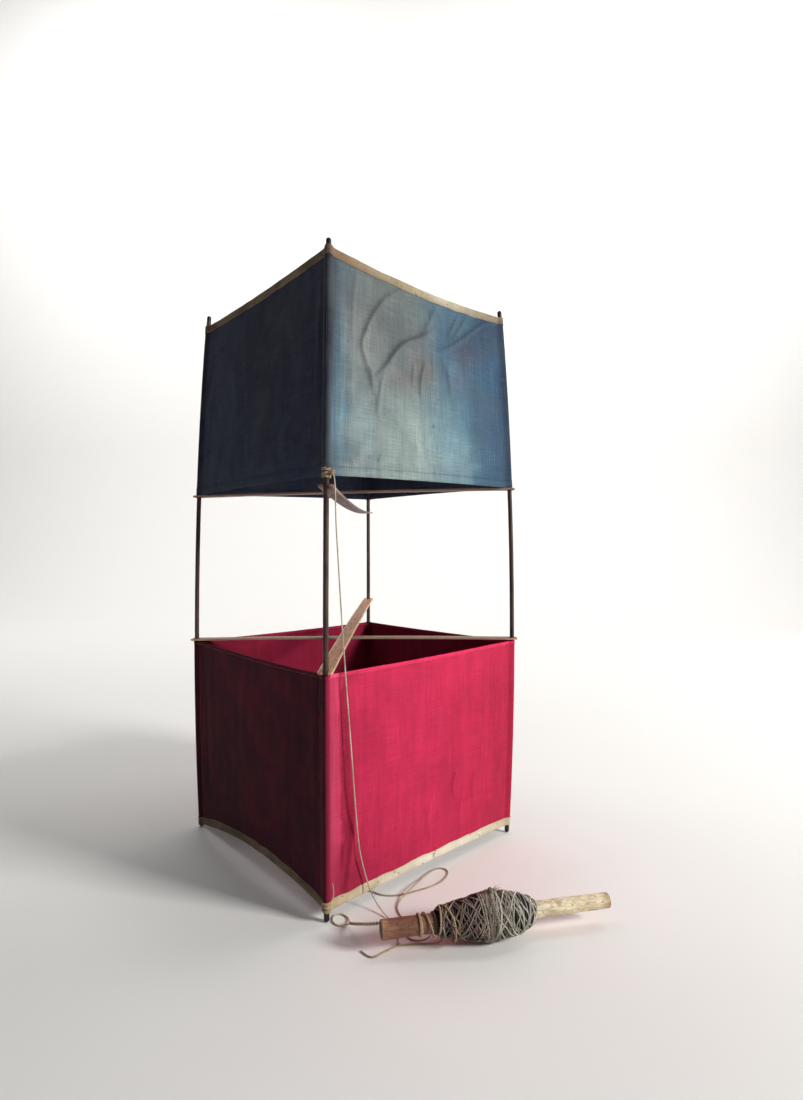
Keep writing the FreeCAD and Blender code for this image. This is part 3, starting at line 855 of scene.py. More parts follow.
@dataclass(frozen=True)
class Fold:
    """A crease in a panel: a curved line, in metres across from the first corner and up from
    the panel's foot, and the shape of the cloth beside it."""

    line: tuple[tuple[float, float], ...]
    height: float
    width: float
    lee: float = 1.0

    def path(self) -> np.ndarray:
        """The fold's line as many points, by the curve through its own points."""
        points = np.array(self.line)
        ends = np.concatenate([[2 * points[0] - points[1]], points, [2 * points[-1] - points[-2]]])
        t = np.linspace(0, 1, 14, endpoint=False)[:, None]
        runs = []
        for a, b, c, d in zip(ends[:-3], ends[1:-2], ends[2:-1], ends[3:]):
            runs.append(0.5 * (2 * b + (c - a) * t + (2 * a - 5 * b + 4 * c - d) * t**2
                               + (3 * b - a - 3 * c + d) * t**3))
        return np.concatenate([*runs, points[-1:]])

    def beside(self, x: np.ndarray, y: np.ndarray) -> tuple[np.ndarray, np.ndarray]:
        """Distance from the fold's line, below 0 on its lee, and the fold's strength there.

        Args:
            x: Distance across the panel.
            y: Distance up from its foot.

        Returns:
            The distances and the strengths.
        """
        path = self.path()
        flat = np.stack([x.ravel(), y.ravel()], axis=-1)
        gaps = flat[:, None, :] - path[None, :, :]
        far = np.einsum("ijk,ijk->ij", gaps, gaps)
        nearest = far.argmin(axis=1)
        rows = np.arange(len(flat))
        along, gap = np.gradient(path, axis=0)[nearest], gaps[rows, nearest]
        side = np.where(along[:, 0] * gap[:, 1] - along[:, 1] * gap[:, 0] > 0, 1.0, -1.0)
        share = np.clip(nearest / (len(path) - 1) * 0.94 + 0.03, 0, 1)
        distance = np.sqrt(far[rows, nearest]) * side
        return distance.reshape(x.shape), (np.sin(math.pi * share) ** 0.6).reshape(x.shape)

    def lift(self, x: np.ndarray, y: np.ndarray) -> np.ndarray:
        """How far the fold stands out at points of the panel."""
        distance, strength = self.beside(x, y)
        width = np.where(distance > 0, self.width, self.width * self.lee)
        return self.height * strength * np.exp(-(np.abs(distance) / width) ** 1.3)

    def dirt_and_shade(self, x: np.ndarray, y: np.ndarray) -> np.ndarray:
        """How much the crease under the fold's lee is darkened: painted shade, with some dirt."""
        distance, strength = self.beside(x, y)
        middle = -0.45 * self.width * self.lee
        mark = np.exp(-(((distance - middle) / (0.34 * self.width)) ** 2))
        return mark * strength * min(1.0, abs(self.height) / 0.006)


@dataclass(frozen=True)
class Edge:
    """A cloth edge: its height at two corners and how far its middle is off their line."""

    first: float
    second: float
    sag: float

    def height(self, share: np.ndarray) -> np.ndarray:
        """The edge's height at a share of the way across."""
        return self.first + (self.second - self.first) * share + 4 * self.sag * share * (1 - share)


@dataclass
class Panel:
    """One side of a cell: a sheet bent with the sticks, wrapped half round each of them."""

    side: Side
    low: Edge
    high: Edge
    dye_and_shade: DyeAndShade
    folds: tuple[Fold, ...] = ()
    billow: float = 0.0
    pitch: float = 0.0045
    seed: int = 1
    wrap: float = 0.0043
    ease: float = 0.011
    gauge: float = 0.0006
    crease_shade_and_dirt: float = 0.34

    def __post_init__(self) -> None:
        """Work out the side's length and the sheet's stations across."""
        middle = (self.low.first + self.high.first) / 2
        self.width = float(BOW.reach(middle)) * math.sqrt(2)
        self.arc = self.wrap * math.pi / 4
        near = self.ease * 1.6
        count = round((self.width - 2 * near) / self.pitch)
        self.stations = np.concatenate([
            np.linspace(-self.arc, 0, 5)[:-1],
            np.linspace(0, near, 9)[:-1],
            np.linspace(near, self.width - near, count)[:-1],
            np.linspace(self.width - near, self.width, 9)[:-1],
            np.linspace(self.width, self.width + self.arc, 5),
        ])

    def ripple(self, across: np.ndarray, z: np.ndarray) -> np.ndarray:
        """How far the cloth stands out from its plain curve.

        Args:
            across: Distance along the sheet from the first stick.
            z: Height.

        Returns:
            The distances outwards.
        """
        share = np.clip(across / self.width, 0, 1)
        foot = self.low.height(share)
        tall = self.high.height(share) - foot
        up = z - foot
        rise = np.clip(up / tall, 0, 1)
        out = self.billow * np.sin(math.pi * share) * np.sin(math.pi * (0.15 + 0.7 * rise))
        out += 0.00055 * patches(across, z, 0.045, self.seed)
        out += 0.0003 * patches(across, z, 0.016, self.seed + 1)
        out += 0.0004 * patches(across, z * 0.18, 0.014, self.seed + 2)
        hold = smooth(across / 0.03) * smooth((self.width - across) / 0.03)
        out *= hold
        inner = (across > 0) & (across < self.width)
        if self.folds and inner.any():
            stand = np.zeros_like(across)
            for fold in self.folds:
                stand[inner] += fold.lift(across[inner], up[inner])
            out += stand * smooth(across / 0.012) * smooth((self.width - across) / 0.012)
        return out

    def at(self, across: np.ndarray, z: np.ndarray, lift: np.ndarray | float = 0.0) -> np.ndarray:
        """Points of the sheet.

        Args:
            across: Distance along the sheet from the first stick; below 0 and beyond the
                width it goes round the sticks.
            z: Height.
            lift: Distance outwards from the sheet's middle.

        Returns:
            The points, with the coordinates on the last axis.
        """
        across, z = np.broadcast_arrays(np.asarray(across, float), np.asarray(z, float))
        half = BOW.reach(z) / math.sqrt(2)
        inside = np.clip(across, 0, self.width)
        first = self.wrap * (1 - smooth(inside / self.ease))
        second = self.wrap * (1 - smooth((self.width - inside) / self.ease))
        out = first + second + self.ripple(across, z) + lift
        x = -half + inside / self.width * 2 * half
        y = -half - out
        for beyond, sign in ((across < 0, -1.0), (across > self.width, 1.0)):
            angle = np.abs(across - inside) / self.wrap
            radius = self.wrap + lift
            x = np.where(beyond, sign * (half + radius * np.sin(angle)), x)
            y = np.where(beyond, -half - radius * np.cos(angle), y)
        turn = math.radians(self.side.value[0].value - 225.0)
        c, s = math.cos(turn), math.sin(turn)
        return np.stack([c * x - s * y, s * x + c * y, z], axis=-1)

    def edge(self, upper: bool) -> Edge:
        """The upper or the lower edge."""
        return self.high if upper else self.low

    def sheet(self) -> Skin:
        """The panel as two faces and their rims."""
        share = np.clip(self.stations / self.width, 0, 1)
        tall = float(np.mean(self.high.height(share) - self.low.height(share)))
        rows = round(tall / self.pitch)
        rise = np.linspace(0, 1, rows)[:, None]
        low, high = self.low.height(share)[None, :], self.high.height(share)[None, :]
        z = low + (high - low) * rise
        across = np.broadcast_to(self.stations, z.shape)
        points = [self.at(across, z, lift).reshape(-1, 3) for lift in (self.gauge / 2, -self.gauge / 2)]
        faces = two_faced(rows, len(self.stations))
        flat = np.stack([across, z], axis=-1).reshape(-1, 2)
        dye_and_shade = self.dye_and_shade.painted(across / self.width, np.broadcast_to(rise, z.shape))
        for fold in self.folds:
            # Painted shade, with some dirt: the colour is darkened along each fold's lee.
            dye_and_shade = dye_and_shade * (1 - self.crease_shade_and_dirt * fold.dirt_and_shade(across, z - low))[..., None]
        dye_and_shade = dye_and_shade.reshape(-1, 3)
        return Skin(np.concatenate(points), faces, np.concatenate([flat] * 2), np.concatenate([dye_and_shade] * 2))

    def strip(self, edge: Edge, section: Sequence[tuple[float, float]], dye_and_shade: DyeAndShade,
              pucker: float = 0.0) -> Skin:
        """A tape or hem along one of the edges.

        Args:
            edge: The edge that it follows.
            section: Its closed outline, as height above the edge and lift.
            dye_and_shade: Its colour.
            pucker: How far its width wavers.

        Returns:
            The strip's skin.
        """
        share = np.clip(self.stations / self.width, 0, 1)
        line = edge.height(share)
        waver = 1 + pucker * patches(self.stations, 0 * line, 0.02, self.seed + 7)
        rows = len(section)
        z = np.stack([line + rise * waver for rise, _ in section])
        lift = np.stack([np.full_like(line, out) for _, out in section])
        across = np.broadcast_to(self.stations, z.shape)
        tall = max(abs(rise) for rise, _ in section)
        up = np.abs(z - line) / tall
        points = self.at(across, z, lift).reshape(-1, 3)
        faces = lattice(rows, len(self.stations), round_rows=True)
        count = len(self.stations)
        faces.append(tuple(i * count for i in range(rows)))
        faces.append(tuple(i * count + count - 1 for i in range(rows))[::-1])
        flat = np.stack([across, z], axis=-1).reshape(-1, 2)
        colour = dye_and_shade.painted(across / self.width, up).reshape(-1, 3)
        return Skin(points, faces, flat, colour)


# ---- stitches
class Stitcher:
    """Rows of hand stitches, laid along seam lines by a geometry tree."""

    def __init__(self) -> None:
        """Build the tree."""
        self.tree = bpy.data.node_groups.new("stitches", "GeometryNodeTree")
        face = self.tree.interface
        face.new_socket("Geometry", in_out="INPUT", socket_type="NodeSocketGeometry")
        for label, kind, default in (("Pitch", NUMBER, 0.0034), ("Length", NUMBER, 0.0022),
                                     ("Thickness", NUMBER, 0.0003), ("Seed", "NodeSocketInt", 5)):
            face.new_socket(label, in_out="INPUT", socket_type=kind).default_value = default
        face.new_socket("Material", in_out="INPUT", socket_type="NodeSocketMaterial")
        face.new_socket("Geometry", in_out="OUTPUT", socket_type="NodeSocketGeometry")
        new = self.tree.nodes.new
        start, end = new("NodeGroupInput"), new("NodeGroupOutput")
        curve = new("GeometryNodeMeshToCurve")
        spaced_out = new("GeometryNodeResampleCurve")
        spaced_out.mode = "LENGTH"
        stitch = new("GeometryNodeMeshUVSphere")
        stitch.inputs["Segments"].default_value = 5
        stitch.inputs["Rings"].default_value = 4
        stitch.inputs["Radius"].default_value = 1.0
        shape = new("ShaderNodeCombineXYZ")
        half = new("ShaderNodeMath")
        half.operation = "MULTIPLY"
        half.inputs[1].default_value = 0.5
        sized = new("GeometryNodeTransform")
        tangent = new("GeometryNodeInputTangent")
        along = new("FunctionNodeAlignRotationToVector")
        along.axis = "Z"
        each = new("GeometryNodeInstanceOnPoints")
        vary = new("FunctionNodeRandomValue")
        vary.data_type = "FLOAT_VECTOR"
        vary.inputs["Min"].default_value = (0.7, 0.7, 0.7)
        vary.inputs["Max"].default_value = (1.15, 1.15, 1.15)
        real = new("GeometryNodeRealizeInstances")
        dress = new("GeometryNodeSetMaterial")
        for source, output, target, socket in (
            (start, "Geometry", curve, "Mesh"), (curve, 0, spaced_out, "Curve"),
            (start, "Pitch", spaced_out, "Length"), (start, "Length", half, 0),
            (start, "Thickness", shape, "X"), (start, "Thickness", shape, "Y"), (half, 0, shape, "Z"),
            (stitch, "Mesh", sized, "Geometry"), (shape, 0, sized, "Scale"),
            (spaced_out, 0, each, "Points"), (sized, 0, each, "Instance"),
            (tangent, 0, along, "Vector"), (along, 0, each, "Rotation"),
            (start, "Seed", vary, "Seed"), (vary, "Value", each, "Scale"),
            (each, 0, real, 0), (real, 0, dress, "Geometry"),
            (start, "Material", dress, "Material"), (dress, 0, end, "Geometry"),
        ):
            self.tree.links.new(source.outputs[output], target.inputs[socket])

    def sewn(self, name: str, lines: Sequence[np.ndarray], material: bpy.types.Material,
             pitch: float = 0.0034, length: float = 0.0022, thickness: float = 0.0003,
             seed: int = 5) -> Piece:
        """Stitches along several lines as one plain mesh.

        Args:
            name: The piece's name.
            lines: The seam lines, on the cloth's surface.
            material: The thread's finish.
            pitch: Distance from stitch to stitch.
            length: Length of a stitch.
            thickness: Radius of the thread.
            seed: For the stitches' uneven sizes.

        Returns:
            The finished piece.
        """
        points, edges, start = [], [], 0
        for line in lines:
            points += line.tolist()
            edges += [(start + i, start + i + 1) for i in range(len(line) - 1)]
            start += len(line)
        mesh = bpy.data.meshes.new(name + "_lines")
        mesh.from_pydata(points, edges, [])
        source = placed(name + "_lines", mesh)
        worker = source.modifiers.new("stitches", "NODES")
        worker.node_group = self.tree
        values = {"Pitch": pitch, "Length": length, "Thickness": thickness, "Seed": seed,
                  "Material": material}
        for item in self.tree.interface.items_tree:
            if item.in_out == "INPUT" and item.name in values:
                worker[item.identifier] = values[item.name]
        view = bpy.context.evaluated_depsgraph_get()
        result = bpy.data.meshes.new_from_object(source.evaluated_get(view), depsgraph=view)
        source.modifiers.clear()
        bpy.data.objects.remove(source)
        result.name = name
        return placed(name, result)


@dataclass(frozen=True)
class ThreadFinish:
    """Cotton sewing thread."""

    name: str
    tint: Colour

    def material(self) -> bpy.types.Material:
        """The finish as a material."""
        t, shader = principled(self.name)
        tone = t.noise(t.coordinates(), 900.0, 2.0)
        t.feed(shader.inputs["Base Color"], t.mix(tone, tuple(c * 0.6 for c in self.tint), self.tint))
        t.feed(shader.inputs["Normal"], t.bump(tone, 0.4, 0.0002))
        shader.inputs["Roughness"].default_value = 0.8
        return t.owner


# ---- cells
@dataclass
class Cell:
    """One cloth cell: four panels, the pockets for the sticks, a tape and a hem."""

    name: str
    finish: ClothFinish
    panels: dict[Side, Panel]
    tape_up: bool
    tape_height: float
    hem_height: float
    tape_dye_and_shade: dict[Side, DyeAndShade]
    hem_tint: float
    thread: ThreadFinish
    seam: float = 0.0125

    def build(self, stitcher: Stitcher) -> None:
        """Make every piece of the cell and settle it on the kite."""
        for side, panel in self.panels.items():
            node = f"{self.name}_{side.name.lower()}_panel"
            piece = panel.sheet().built(f"{self.name}_{side.name.lower()}_cloth", dressed(self.finish))
            settled(piece, "kite", [node])
        sewn_on = [*self.pockets(), self.tape(), self.hem(), *self.stitches(stitcher)]

    def pockets(self) -> list[Piece]:
        """The strips sewn inside each corner, which hold the stick against the cloth."""
        made, columns = [], 11
        for corner in Corner:
            behind = next(p for p in self.panels.values() if p.side.value[1] is corner)
            ahead = next(p for p in self.panels.values() if p.side.value[0] is corner)
            low, high = behind.low.second + 0.003, behind.high.second - 0.003
            rows = round((high - low) / 0.005)
            z = np.linspace(low, high, rows)[:, None]
            inward = -corner.direction()
            centre = np.concatenate([BOW.reach(z) * corner.direction()[:2], z], axis=1)[:, None, :]
            share = np.linspace(0, 1, columns)[None, :, None]
            skins = []
            for gauge, reach in ((-0.0010, 0.0062), (-0.0016, 0.0066)):
                start = behind.at(behind.width - self.seam, z, gauge)
                stop = ahead.at(self.seam, z, gauge)
                pull = (centre + inward * reach) * 2 - (start + stop) / 2
                strip = start * (1 - share) ** 2 + pull * 2 * share * (1 - share) + stop * share**2
                pleat = 0.0004 * patches(z[..., None], share * 0.03, 0.012, 40)
                skins.append((strip + inward * pleat).reshape(-1, 3))
            points = np.concatenate(skins)
            flat = np.stack([np.broadcast_to(share[..., 0] * 0.02, (rows, columns)),
                             np.broadcast_to(z, (rows, columns))], axis=-1).reshape(-1, 2)
            # Painted shade: the pockets, inside the corners behind the sticks, are painted at 0.8 of the
            # panel's colour.
            tint = behind.dye_and_shade.painted(np.full(len(flat), 0.98), np.full(len(flat), 0.5)) * 0.8
            skin = Skin(points, two_faced(rows, columns), np.concatenate([flat] * 2),
                        np.concatenate([tint] * 2))
            name = corner.name.lower()
            piece = skin.built(f"{self.name}_{name}_pocket", dressed(self.finish))
            made.append(settled(piece, "kite", [f"{self.name}_{name}_sleeve"]))
        return made

    def tape(self) -> Piece:
        """Cotton tape folded over the open edge."""
        way = -1.0 if self.tape_up else 1.0
        h, o, t = self.tape_height, 0.0011, 0.0005
        section = [(-0.0012 * way, 0.0), (-0.0009 * way, o * 0.7), (0.0, o), (h * way, o * 0.95),
                   (h * way, o - t), (0.0008 * way, o - t), (0.0008 * way, t - o), (h * way, t - o),
                   (h * way, -o * 0.95), (0.0, -o), (-0.0009 * way, -o * 0.7)]
        if self.tape_up:
            section = section[::-1]
        parts = [p.strip(p.edge(self.tape_up), section, self.tape_dye_and_shade[s], 0.07)
                 for s, p in self.panels.items()]
        piece = Skin.joined(parts).built(f"{self.name}_tape", dressed(FINISHES.tape))
        return settled(piece, "kite", [f"{self.name}_edge_binding"])

    def hem(self) -> Piece:
        """The cloth's other edge, turned in and sewn."""
        way = 1.0 if self.tape_up else -1.0
        h, o = self.hem_height, 0.0008
        section = [(-0.0008 * way, 0.0), (0.0, o), (h * way, o * 0.9), (h * way, 0.0001),
                   (h * way, -0.0001), (h * way, -o * 1.3), (0.0, -o * 1.3)]
        if not self.tape_up:
            section = section[::-1]
        parts = []
        for panel in self.panels.values():
            lighter = tuple((place, tuple(min(1.0, c * self.hem_tint) for c in tint))
                            for place, tint in panel.dye_and_shade.bands)
            strip = panel.strip(panel.edge(not self.tape_up), section, DyeAndShade(lighter), 0.10)
            if self.tape_up and panel.dye_and_shade.stains:
                base = panel.dye_and_shade.painted(strip.flat[:, 0] / panel.width, np.full(len(strip.flat), 0.03))
                strip.dye_and_shade = np.clip(base * self.hem_tint, 0, 1)
            parts.append(strip)
        piece = Skin.joined(parts).built(f"{self.name}_hem", dressed(self.finish))
        return settled(piece, "kite", [f"{self.name}_cell_hem"])

    def stitches(self, stitcher: Stitcher) -> list[Piece]:
        """Seam stitches beside each stick, along the hem and along the tape."""
        seams, tape_lines = [], []
        way = 1.0 if self.tape_up else -1.0
        for panel in self.panels.values():
            rise = np.linspace(0.02, 0.98, 60)
            for across in (self.seam, panel.width - self.seam):
                share = across / panel.width
                low, high = panel.low.height(np.array(share)), panel.high.height(np.array(share))
                seams += [panel.at(across, low + (high - low) * rise, lift) for lift in (0.0005, -0.0019)]
            walk = np.linspace(0.001, panel.width - 0.001, 120)
            share = walk / panel.width
            hem = panel.edge(not self.tape_up).height(share) + way * (self.hem_height - 0.0011)
            seams += [panel.at(walk, hem, lift) for lift in (0.0009, -0.0012)]
            top = panel.edge(self.tape_up).height(share) - way * (self.tape_height - 0.0014)
            tape_lines += [panel.at(walk, top, lift) for lift in (0.0012, -0.0012)]
        seam = stitcher.sewn(f"{self.name}_seam_stitches", seams, dressed(self.thread),
                             0.0036, 0.0024, 0.00026)
        cream = ThreadFinish("tape_thread", rgb(206, 192, 160))
        edge = stitcher.sewn(f"{self.name}_tape_stitches", tape_lines, dressed(cream),
                             0.0032, 0.0021, 0.00025, 9)
        return [settled(seam, "kite"), settled(edge, "kite")]


def hung(feet: dict[Corner, float], tops: dict[Corner, float], cuts: Sequence[tuple]) -> dict[Side, Panel]:
    """The panels of a cell, between the heights that its edges have at the corners.

    Args:
        feet: Height of the cell's lower edge at each corner.
        tops: Height of its upper edge at each corner.
        cuts: Each panel's side, its edges' sags, then its dye, folds, billow, pitch and seed.

    Returns:
        The panels by their side.
    """
    panels = {}
    for side, (low_sag, high_sag), *rest in cuts:
        first, second = side.value
        low = Edge(feet[first], feet[second], low_sag)
        panels[side] = Panel(side, low, Edge(tops[first], tops[second], high_sag), *rest)
    return panels


def upper_cell() -> Cell:
    """The indigo cell, faded on the side that hung in the light."""
    folds = (
        Fold(((0.138, 0.286), (0.101, 0.261), (0.075, 0.228), (0.062, 0.203),
              (0.057, 0.185), (0.066, 0.158), (0.081, 0.120)), 0.005, 0.0085, 0.45),
        Fold(((0.199, 0.235), (0.177, 0.221), (0.138, 0.203), (0.118, 0.185),
              (0.101, 0.163), (0.081, 0.143)), 0.0064, 0.0095, 0.36),
        Fold(((0.216, 0.282), (0.199, 0.256), (0.182, 0.228), (0.165, 0.216)), 0.0034, 0.011, 0.7),
        Fold(((0.157, 0.177), (0.156, 0.163), (0.154, 0.143)), 0.003, 0.004, 0.5),
        Fold(((0.183, 0.184), (0.175, 0.165), (0.171, 0.147), (0.171, 0.130)), 0.0034, 0.005, 0.5),
        Fold(((0.072, 0.160), (0.073, 0.145), (0.075, 0.124)), 0.003, 0.004, 0.5),
        Fold(((0.098, 0.150), (0.091, 0.132), (0.087, 0.111), (0.085, 0.090)), 0.0032, 0.0055, 0.5),
        Fold(((0.362, 0.284), (0.330, 0.275), (0.288, 0.248),
              (0.242, 0.218), (0.214, 0.206)), 0.0056, 0.0095, 0.8),
        Fold(((0.364, 0.276), (0.319, 0.253), (0.282, 0.223), (0.242, 0.204)), -0.0036, 0.0095, 1.0),
        Fold(((0.288, 0.279), (0.262, 0.249), (0.242, 0.228)), 0.003, 0.0065, 0.7),
        Fold(((0.268, 0.280), (0.249, 0.252), (0.235, 0.231)), 0.0028, 0.006, 0.7),
        Fold(((0.214, 0.206), (0.222, 0.182), (0.225, 0.147), (0.222, 0.111)), -0.003, 0.012, 1.0),
        Fold(((0.225, 0.194), (0.237, 0.167), (0.240, 0.132)), 0.0022, 0.008, 1.0),
        Fold(((0.021, 0.287), (0.020, 0.191), (0.021, 0.093), (0.019, 0.019)), 0.0018, 0.004, 1.0),
        Fold(((0.032, 0.283), (0.034, 0.178), (0.031, 0.080), (0.032, 0.031)), -0.0016, 0.0045, 1.0),
        Fold(((0.049, 0.290), (0.043, 0.245), (0.041, 0.190)), 0.002, 0.004, 1.0),
        Fold(((0.019, 0.026), (0.060, 0.018), (0.131, 0.019), (0.259, 0.016)), 0.0014, 0.0045, 1.0),
        Fold(((0.038, 0.023), (0.043, 0.015), (0.044, 0.006)), 0.0026, 0.0035, 1.0),
    )
    quiet = (
        Fold(((0.030, 0.270), (0.120, 0.200), (0.250, 0.150)), 0.0018, 0.0160),
        Fold(((0.360, 0.030), (0.280, 0.060), (0.200, 0.050)), 0.0016, 0.0120),
        Fold(((0.368, 0.280), (0.362, 0.180), (0.366, 0.060)), 0.0014, 0.0045),
        Fold(((0.350, 0.276), (0.352, 0.190), (0.346, 0.080)), -0.0012, 0.0060),
        Fold(((0.150, 0.290), (0.160, 0.220), (0.150, 0.140)), 0.0012, 0.0100),
    )
    feet = {Corner.NEAR: 0.591, Corner.LEFT: 0.5915, Corner.RIGHT: 0.6025, Corner.BACK: 0.608}
    tops = {Corner.NEAR: 0.9025, Corner.LEFT: 0.8945, Corner.RIGHT: 0.9005, Corner.BACK: 0.898}
    panels = hung(feet, tops, (
        (Side.FRONT_RIGHT, (0.0015, -0.009), INDIGO_FADED, folds, 0.0010, 0.0020, 101),
        (Side.BACK_RIGHT, (0.0015, -0.007), INDIGO, quiet, 0.002, 0.0042, 131),
        (Side.BACK_LEFT, (0.002, -0.006), INDIGO, quiet, 0.002, 0.0042, 161),
        (Side.FRONT_LEFT, (0.002, -0.005), INDIGO, quiet, 0.0012, 0.0030, 191),
    ))
    # Painted shade: the front-left side's tape is painted darker.
    tape_dye_and_shade = {side: TAPE_SHADED if side is Side.FRONT_LEFT else TAPE_OLD for side in Side}
    return Cell("upper", FINISHES.indigo, panels, True, 0.012, 0.013, tape_dye_and_shade, 1.05,
                ThreadFinish("indigo_thread", rgb(64, 70, 86)))


def lower_cell() -> Cell:
    """The crimson cell."""
    folds = (
        Fold(((0.024, 0.308), (0.031, 0.240), (0.035, 0.160), (0.036, 0.090),
              (0.033, 0.030)), -0.0052, 0.0052, 1.5),
        Fold(((0.016, 0.300), (0.018, 0.220), (0.019, 0.120), (0.018, 0.020)), 0.0016, 0.0045),
        Fold(((0.048, 0.150), (0.046, 0.110), (0.040, 0.060), (0.030, 0.012)), 0.0028, 0.0060, 0.5),
        Fold(((0.030, 0.120), (0.029, 0.080), (0.024, 0.030)), 0.0026, 0.0040, 0.7),
        Fold(((0.062, 0.130), (0.058, 0.090), (0.050, 0.040)), -0.0018, 0.0060),
        Fold(((0.252, 0.130), (0.244, 0.105), (0.248, 0.082)), 0.0022, 0.0060, 0.6),
        Fold(((0.300, 0.120), (0.292, 0.090), (0.296, 0.060)), 0.0018, 0.0070, 0.7),
        Fold(((0.372, 0.060), (0.300, 0.072), (0.220, 0.058)), 0.0014, 0.0120),
        Fold(((0.200, 0.110), (0.190, 0.070), (0.196, 0.030)), 0.0014, 0.0080),
        Fold(((0.270, 0.100), (0.262, 0.060), (0.268, 0.026)), 0.0014, 0.0060),
        Fold(((0.150, 0.040), (0.110, 0.036), (0.070, 0.020)), 0.0016, 0.0070),
    )
    quiet = (
        Fold(((0.370, 0.290), (0.366, 0.190), (0.368, 0.060)), 0.0014, 0.0045),
        Fold(((0.030, 0.280), (0.040, 0.180), (0.034, 0.060)), -0.0014, 0.0060),
        Fold(((0.060, 0.040), (0.160, 0.060), (0.300, 0.050)), 0.0018, 0.0140),
        Fold(((0.180, 0.280), (0.170, 0.200), (0.180, 0.120)), 0.0012, 0.0110),
    )
    feet = {Corner.NEAR: 0.0145, Corner.LEFT: 0.004, Corner.RIGHT: 0.015, Corner.BACK: 0.010}
    tops = {Corner.NEAR: 0.327, Corner.LEFT: 0.3305, Corner.RIGHT: 0.3345, Corner.BACK: 0.334}
    panels = hung(feet, tops, (
        (Side.FRONT_RIGHT, (0.002, -0.0015), CRIMSON_FRONT, folds, 0.0010, 0.0021, 201),
        (Side.BACK_RIGHT, (0.006, -0.002), CRIMSON_PLAIN, quiet, 0.002, 0.0042, 231),
        (Side.BACK_LEFT, (0.008, -0.002), CRIMSON_PLAIN, quiet, 0.002, 0.0042, 261),
        # Painted shade: the front-left panel gets the far darker crimson.
        (Side.FRONT_LEFT, (0.021, -0.0025), CRIMSON_SHADED, quiet, 0.0012, 0.0030, 291),
    ))
    # Painted shade: the front-left side's tape is painted darker.
    tape_dye_and_shade = {side: TAPE_SHADED if side is Side.FRONT_LEFT else TAPE for side in Side}
    return Cell("lower", FINISHES.crimson, panels, False, 0.0125, 0.005, tape_dye_and_shade, 1.55,
                ThreadFinish("crimson_thread", rgb(222, 120, 140)))


# ---- routes of the twine
TOW_ROUTE = (
    (0.0098, -0.2822, 0.5932), (0.0126, -0.2846, 0.5844), (0.0132, -0.2844, 0.5620),
    (0.0138, -0.2818, 0.5230), (0.0160, -0.2772, 0.4780), (0.0182, -0.2730, 0.4280),
    (0.0214, -0.2696, 0.3720), (0.0246, -0.2662, 0.3180), (0.0286, -0.2610, 0.2580),
    (0.0322, -0.2568, 0.2000), (0.0356, -0.2516, 0.1420), (0.0396, -0.2456, 0.0860),
    (0.0448, -0.2384, 0.0560), (0.0506, -0.2316, 0.0300), (0.0592, -0.2372, 0.0130),
    (0.0715, -0.2504, 0.0044), (0.0830, -0.2640, 0.0012), (0.0914, -0.2806, 0.0012),
    (0.0958, -0.2980, 0.0012), (0.0972, -0.3150, 0.0016),
)
BRIDLE_ROUTE = (
    (0.0008, -0.2654, 0.0210), (0.0006, -0.2570, 0.0154), (0.0020, -0.2456, 0.0074),
    (0.0050, -0.2320, 0.0022), (0.0104, -0.2150, 0.0012), (0.0220, -0.1994, 0.0012),
    (0.0386, -0.1924, 0.0012), (0.0530, -0.1984, 0.0012), (0.0670, -0.2072, 0.0012),
    (0.0830, -0.2088, 0.0012), (0.1000, -0.2042, 0.0012), (0.1186, -0.1930, 0.0012),
    (0.1380, -0.1828, 0.0012), (0.1550, -0.1670, 0.0012), (0.1656, -0.1450, 0.0012),
    (0.1614, -0.1306, 0.0012), (0.1474, -0.1296, 0.0012), (0.1354, -0.1416, 0.0012),
    (0.1250, -0.1626, 0.0024), (0.1170, -0.1840, 0.0064), (0.1060, -0.2046, 0.0064),
    (0.0956, -0.2194, 0.0024), (0.0912, -0.2340, 0.0012), (0.0940, -0.2490, 0.0012),
    (0.1010, -0.2626, 0.0012), (0.1036, -0.2796, 0.0012), (0.1046, -0.2956, 0.0012),
    (0.1120, -0.3050, 0.0012), (0.1236, -0.3074, 0.0014), (0.1326, -0.3074, 0.0040),
    (0.1368, -0.3100, 0.0096), (0.1376, -0.3134, 0.0149),
)
LEAD_ROUTE = (
    (0.0992, -0.3170, 0.0016), (0.1120, -0.3136, 0.0012), (0.1260, -0.3122, 0.0012),
    (0.1400, -0.3120, 0.0012), (0.1490, -0.3132, 0.0034), (0.1518, -0.3130, 0.0084),
)
TAIL_ROUTE = (
    (0.0960, -0.3186, 0.0016), (0.0880, -0.3240, 0.0012), (0.0770, -0.3334, 0.0012),
    (0.0690, -0.3410, 0.0012), (0.0606, -0.3386, 0.0012), (0.0520, -0.3290, 0.0012),
)
TWIST_ROUTE = (
    (0.1150, -0.3072, 0.0290), (0.0980, -0.3118, 0.0296), (0.0820, -0.3156, 0.0294),
    (0.0694, -0.3170, 0.0276), (0.0584, -0.3088, 0.0216), (0.0484, -0.2970, 0.0146),
    (0.0386, -0.2868, 0.0080), (0.0316, -0.2788, 0.0040),
)
EYE_ROUTE = (
    (0.0314, -0.2782, 0.0038), (0.0308, -0.2728, 0.0026), (0.0294, -0.2668, 0.0016),
    (0.0260, -0.2606, 0.0012), (0.0184, -0.2546, 0.0012), (0.0102, -0.2558, 0.0012),
    (0.0072, -0.2632, 0.0012), (0.0082, -0.2716, 0.0012), (0.0130, -0.2786, 0.0012),
    (0.0206, -0.2814, 0.0012), (0.0302, -0.2794, 0.0030),
)
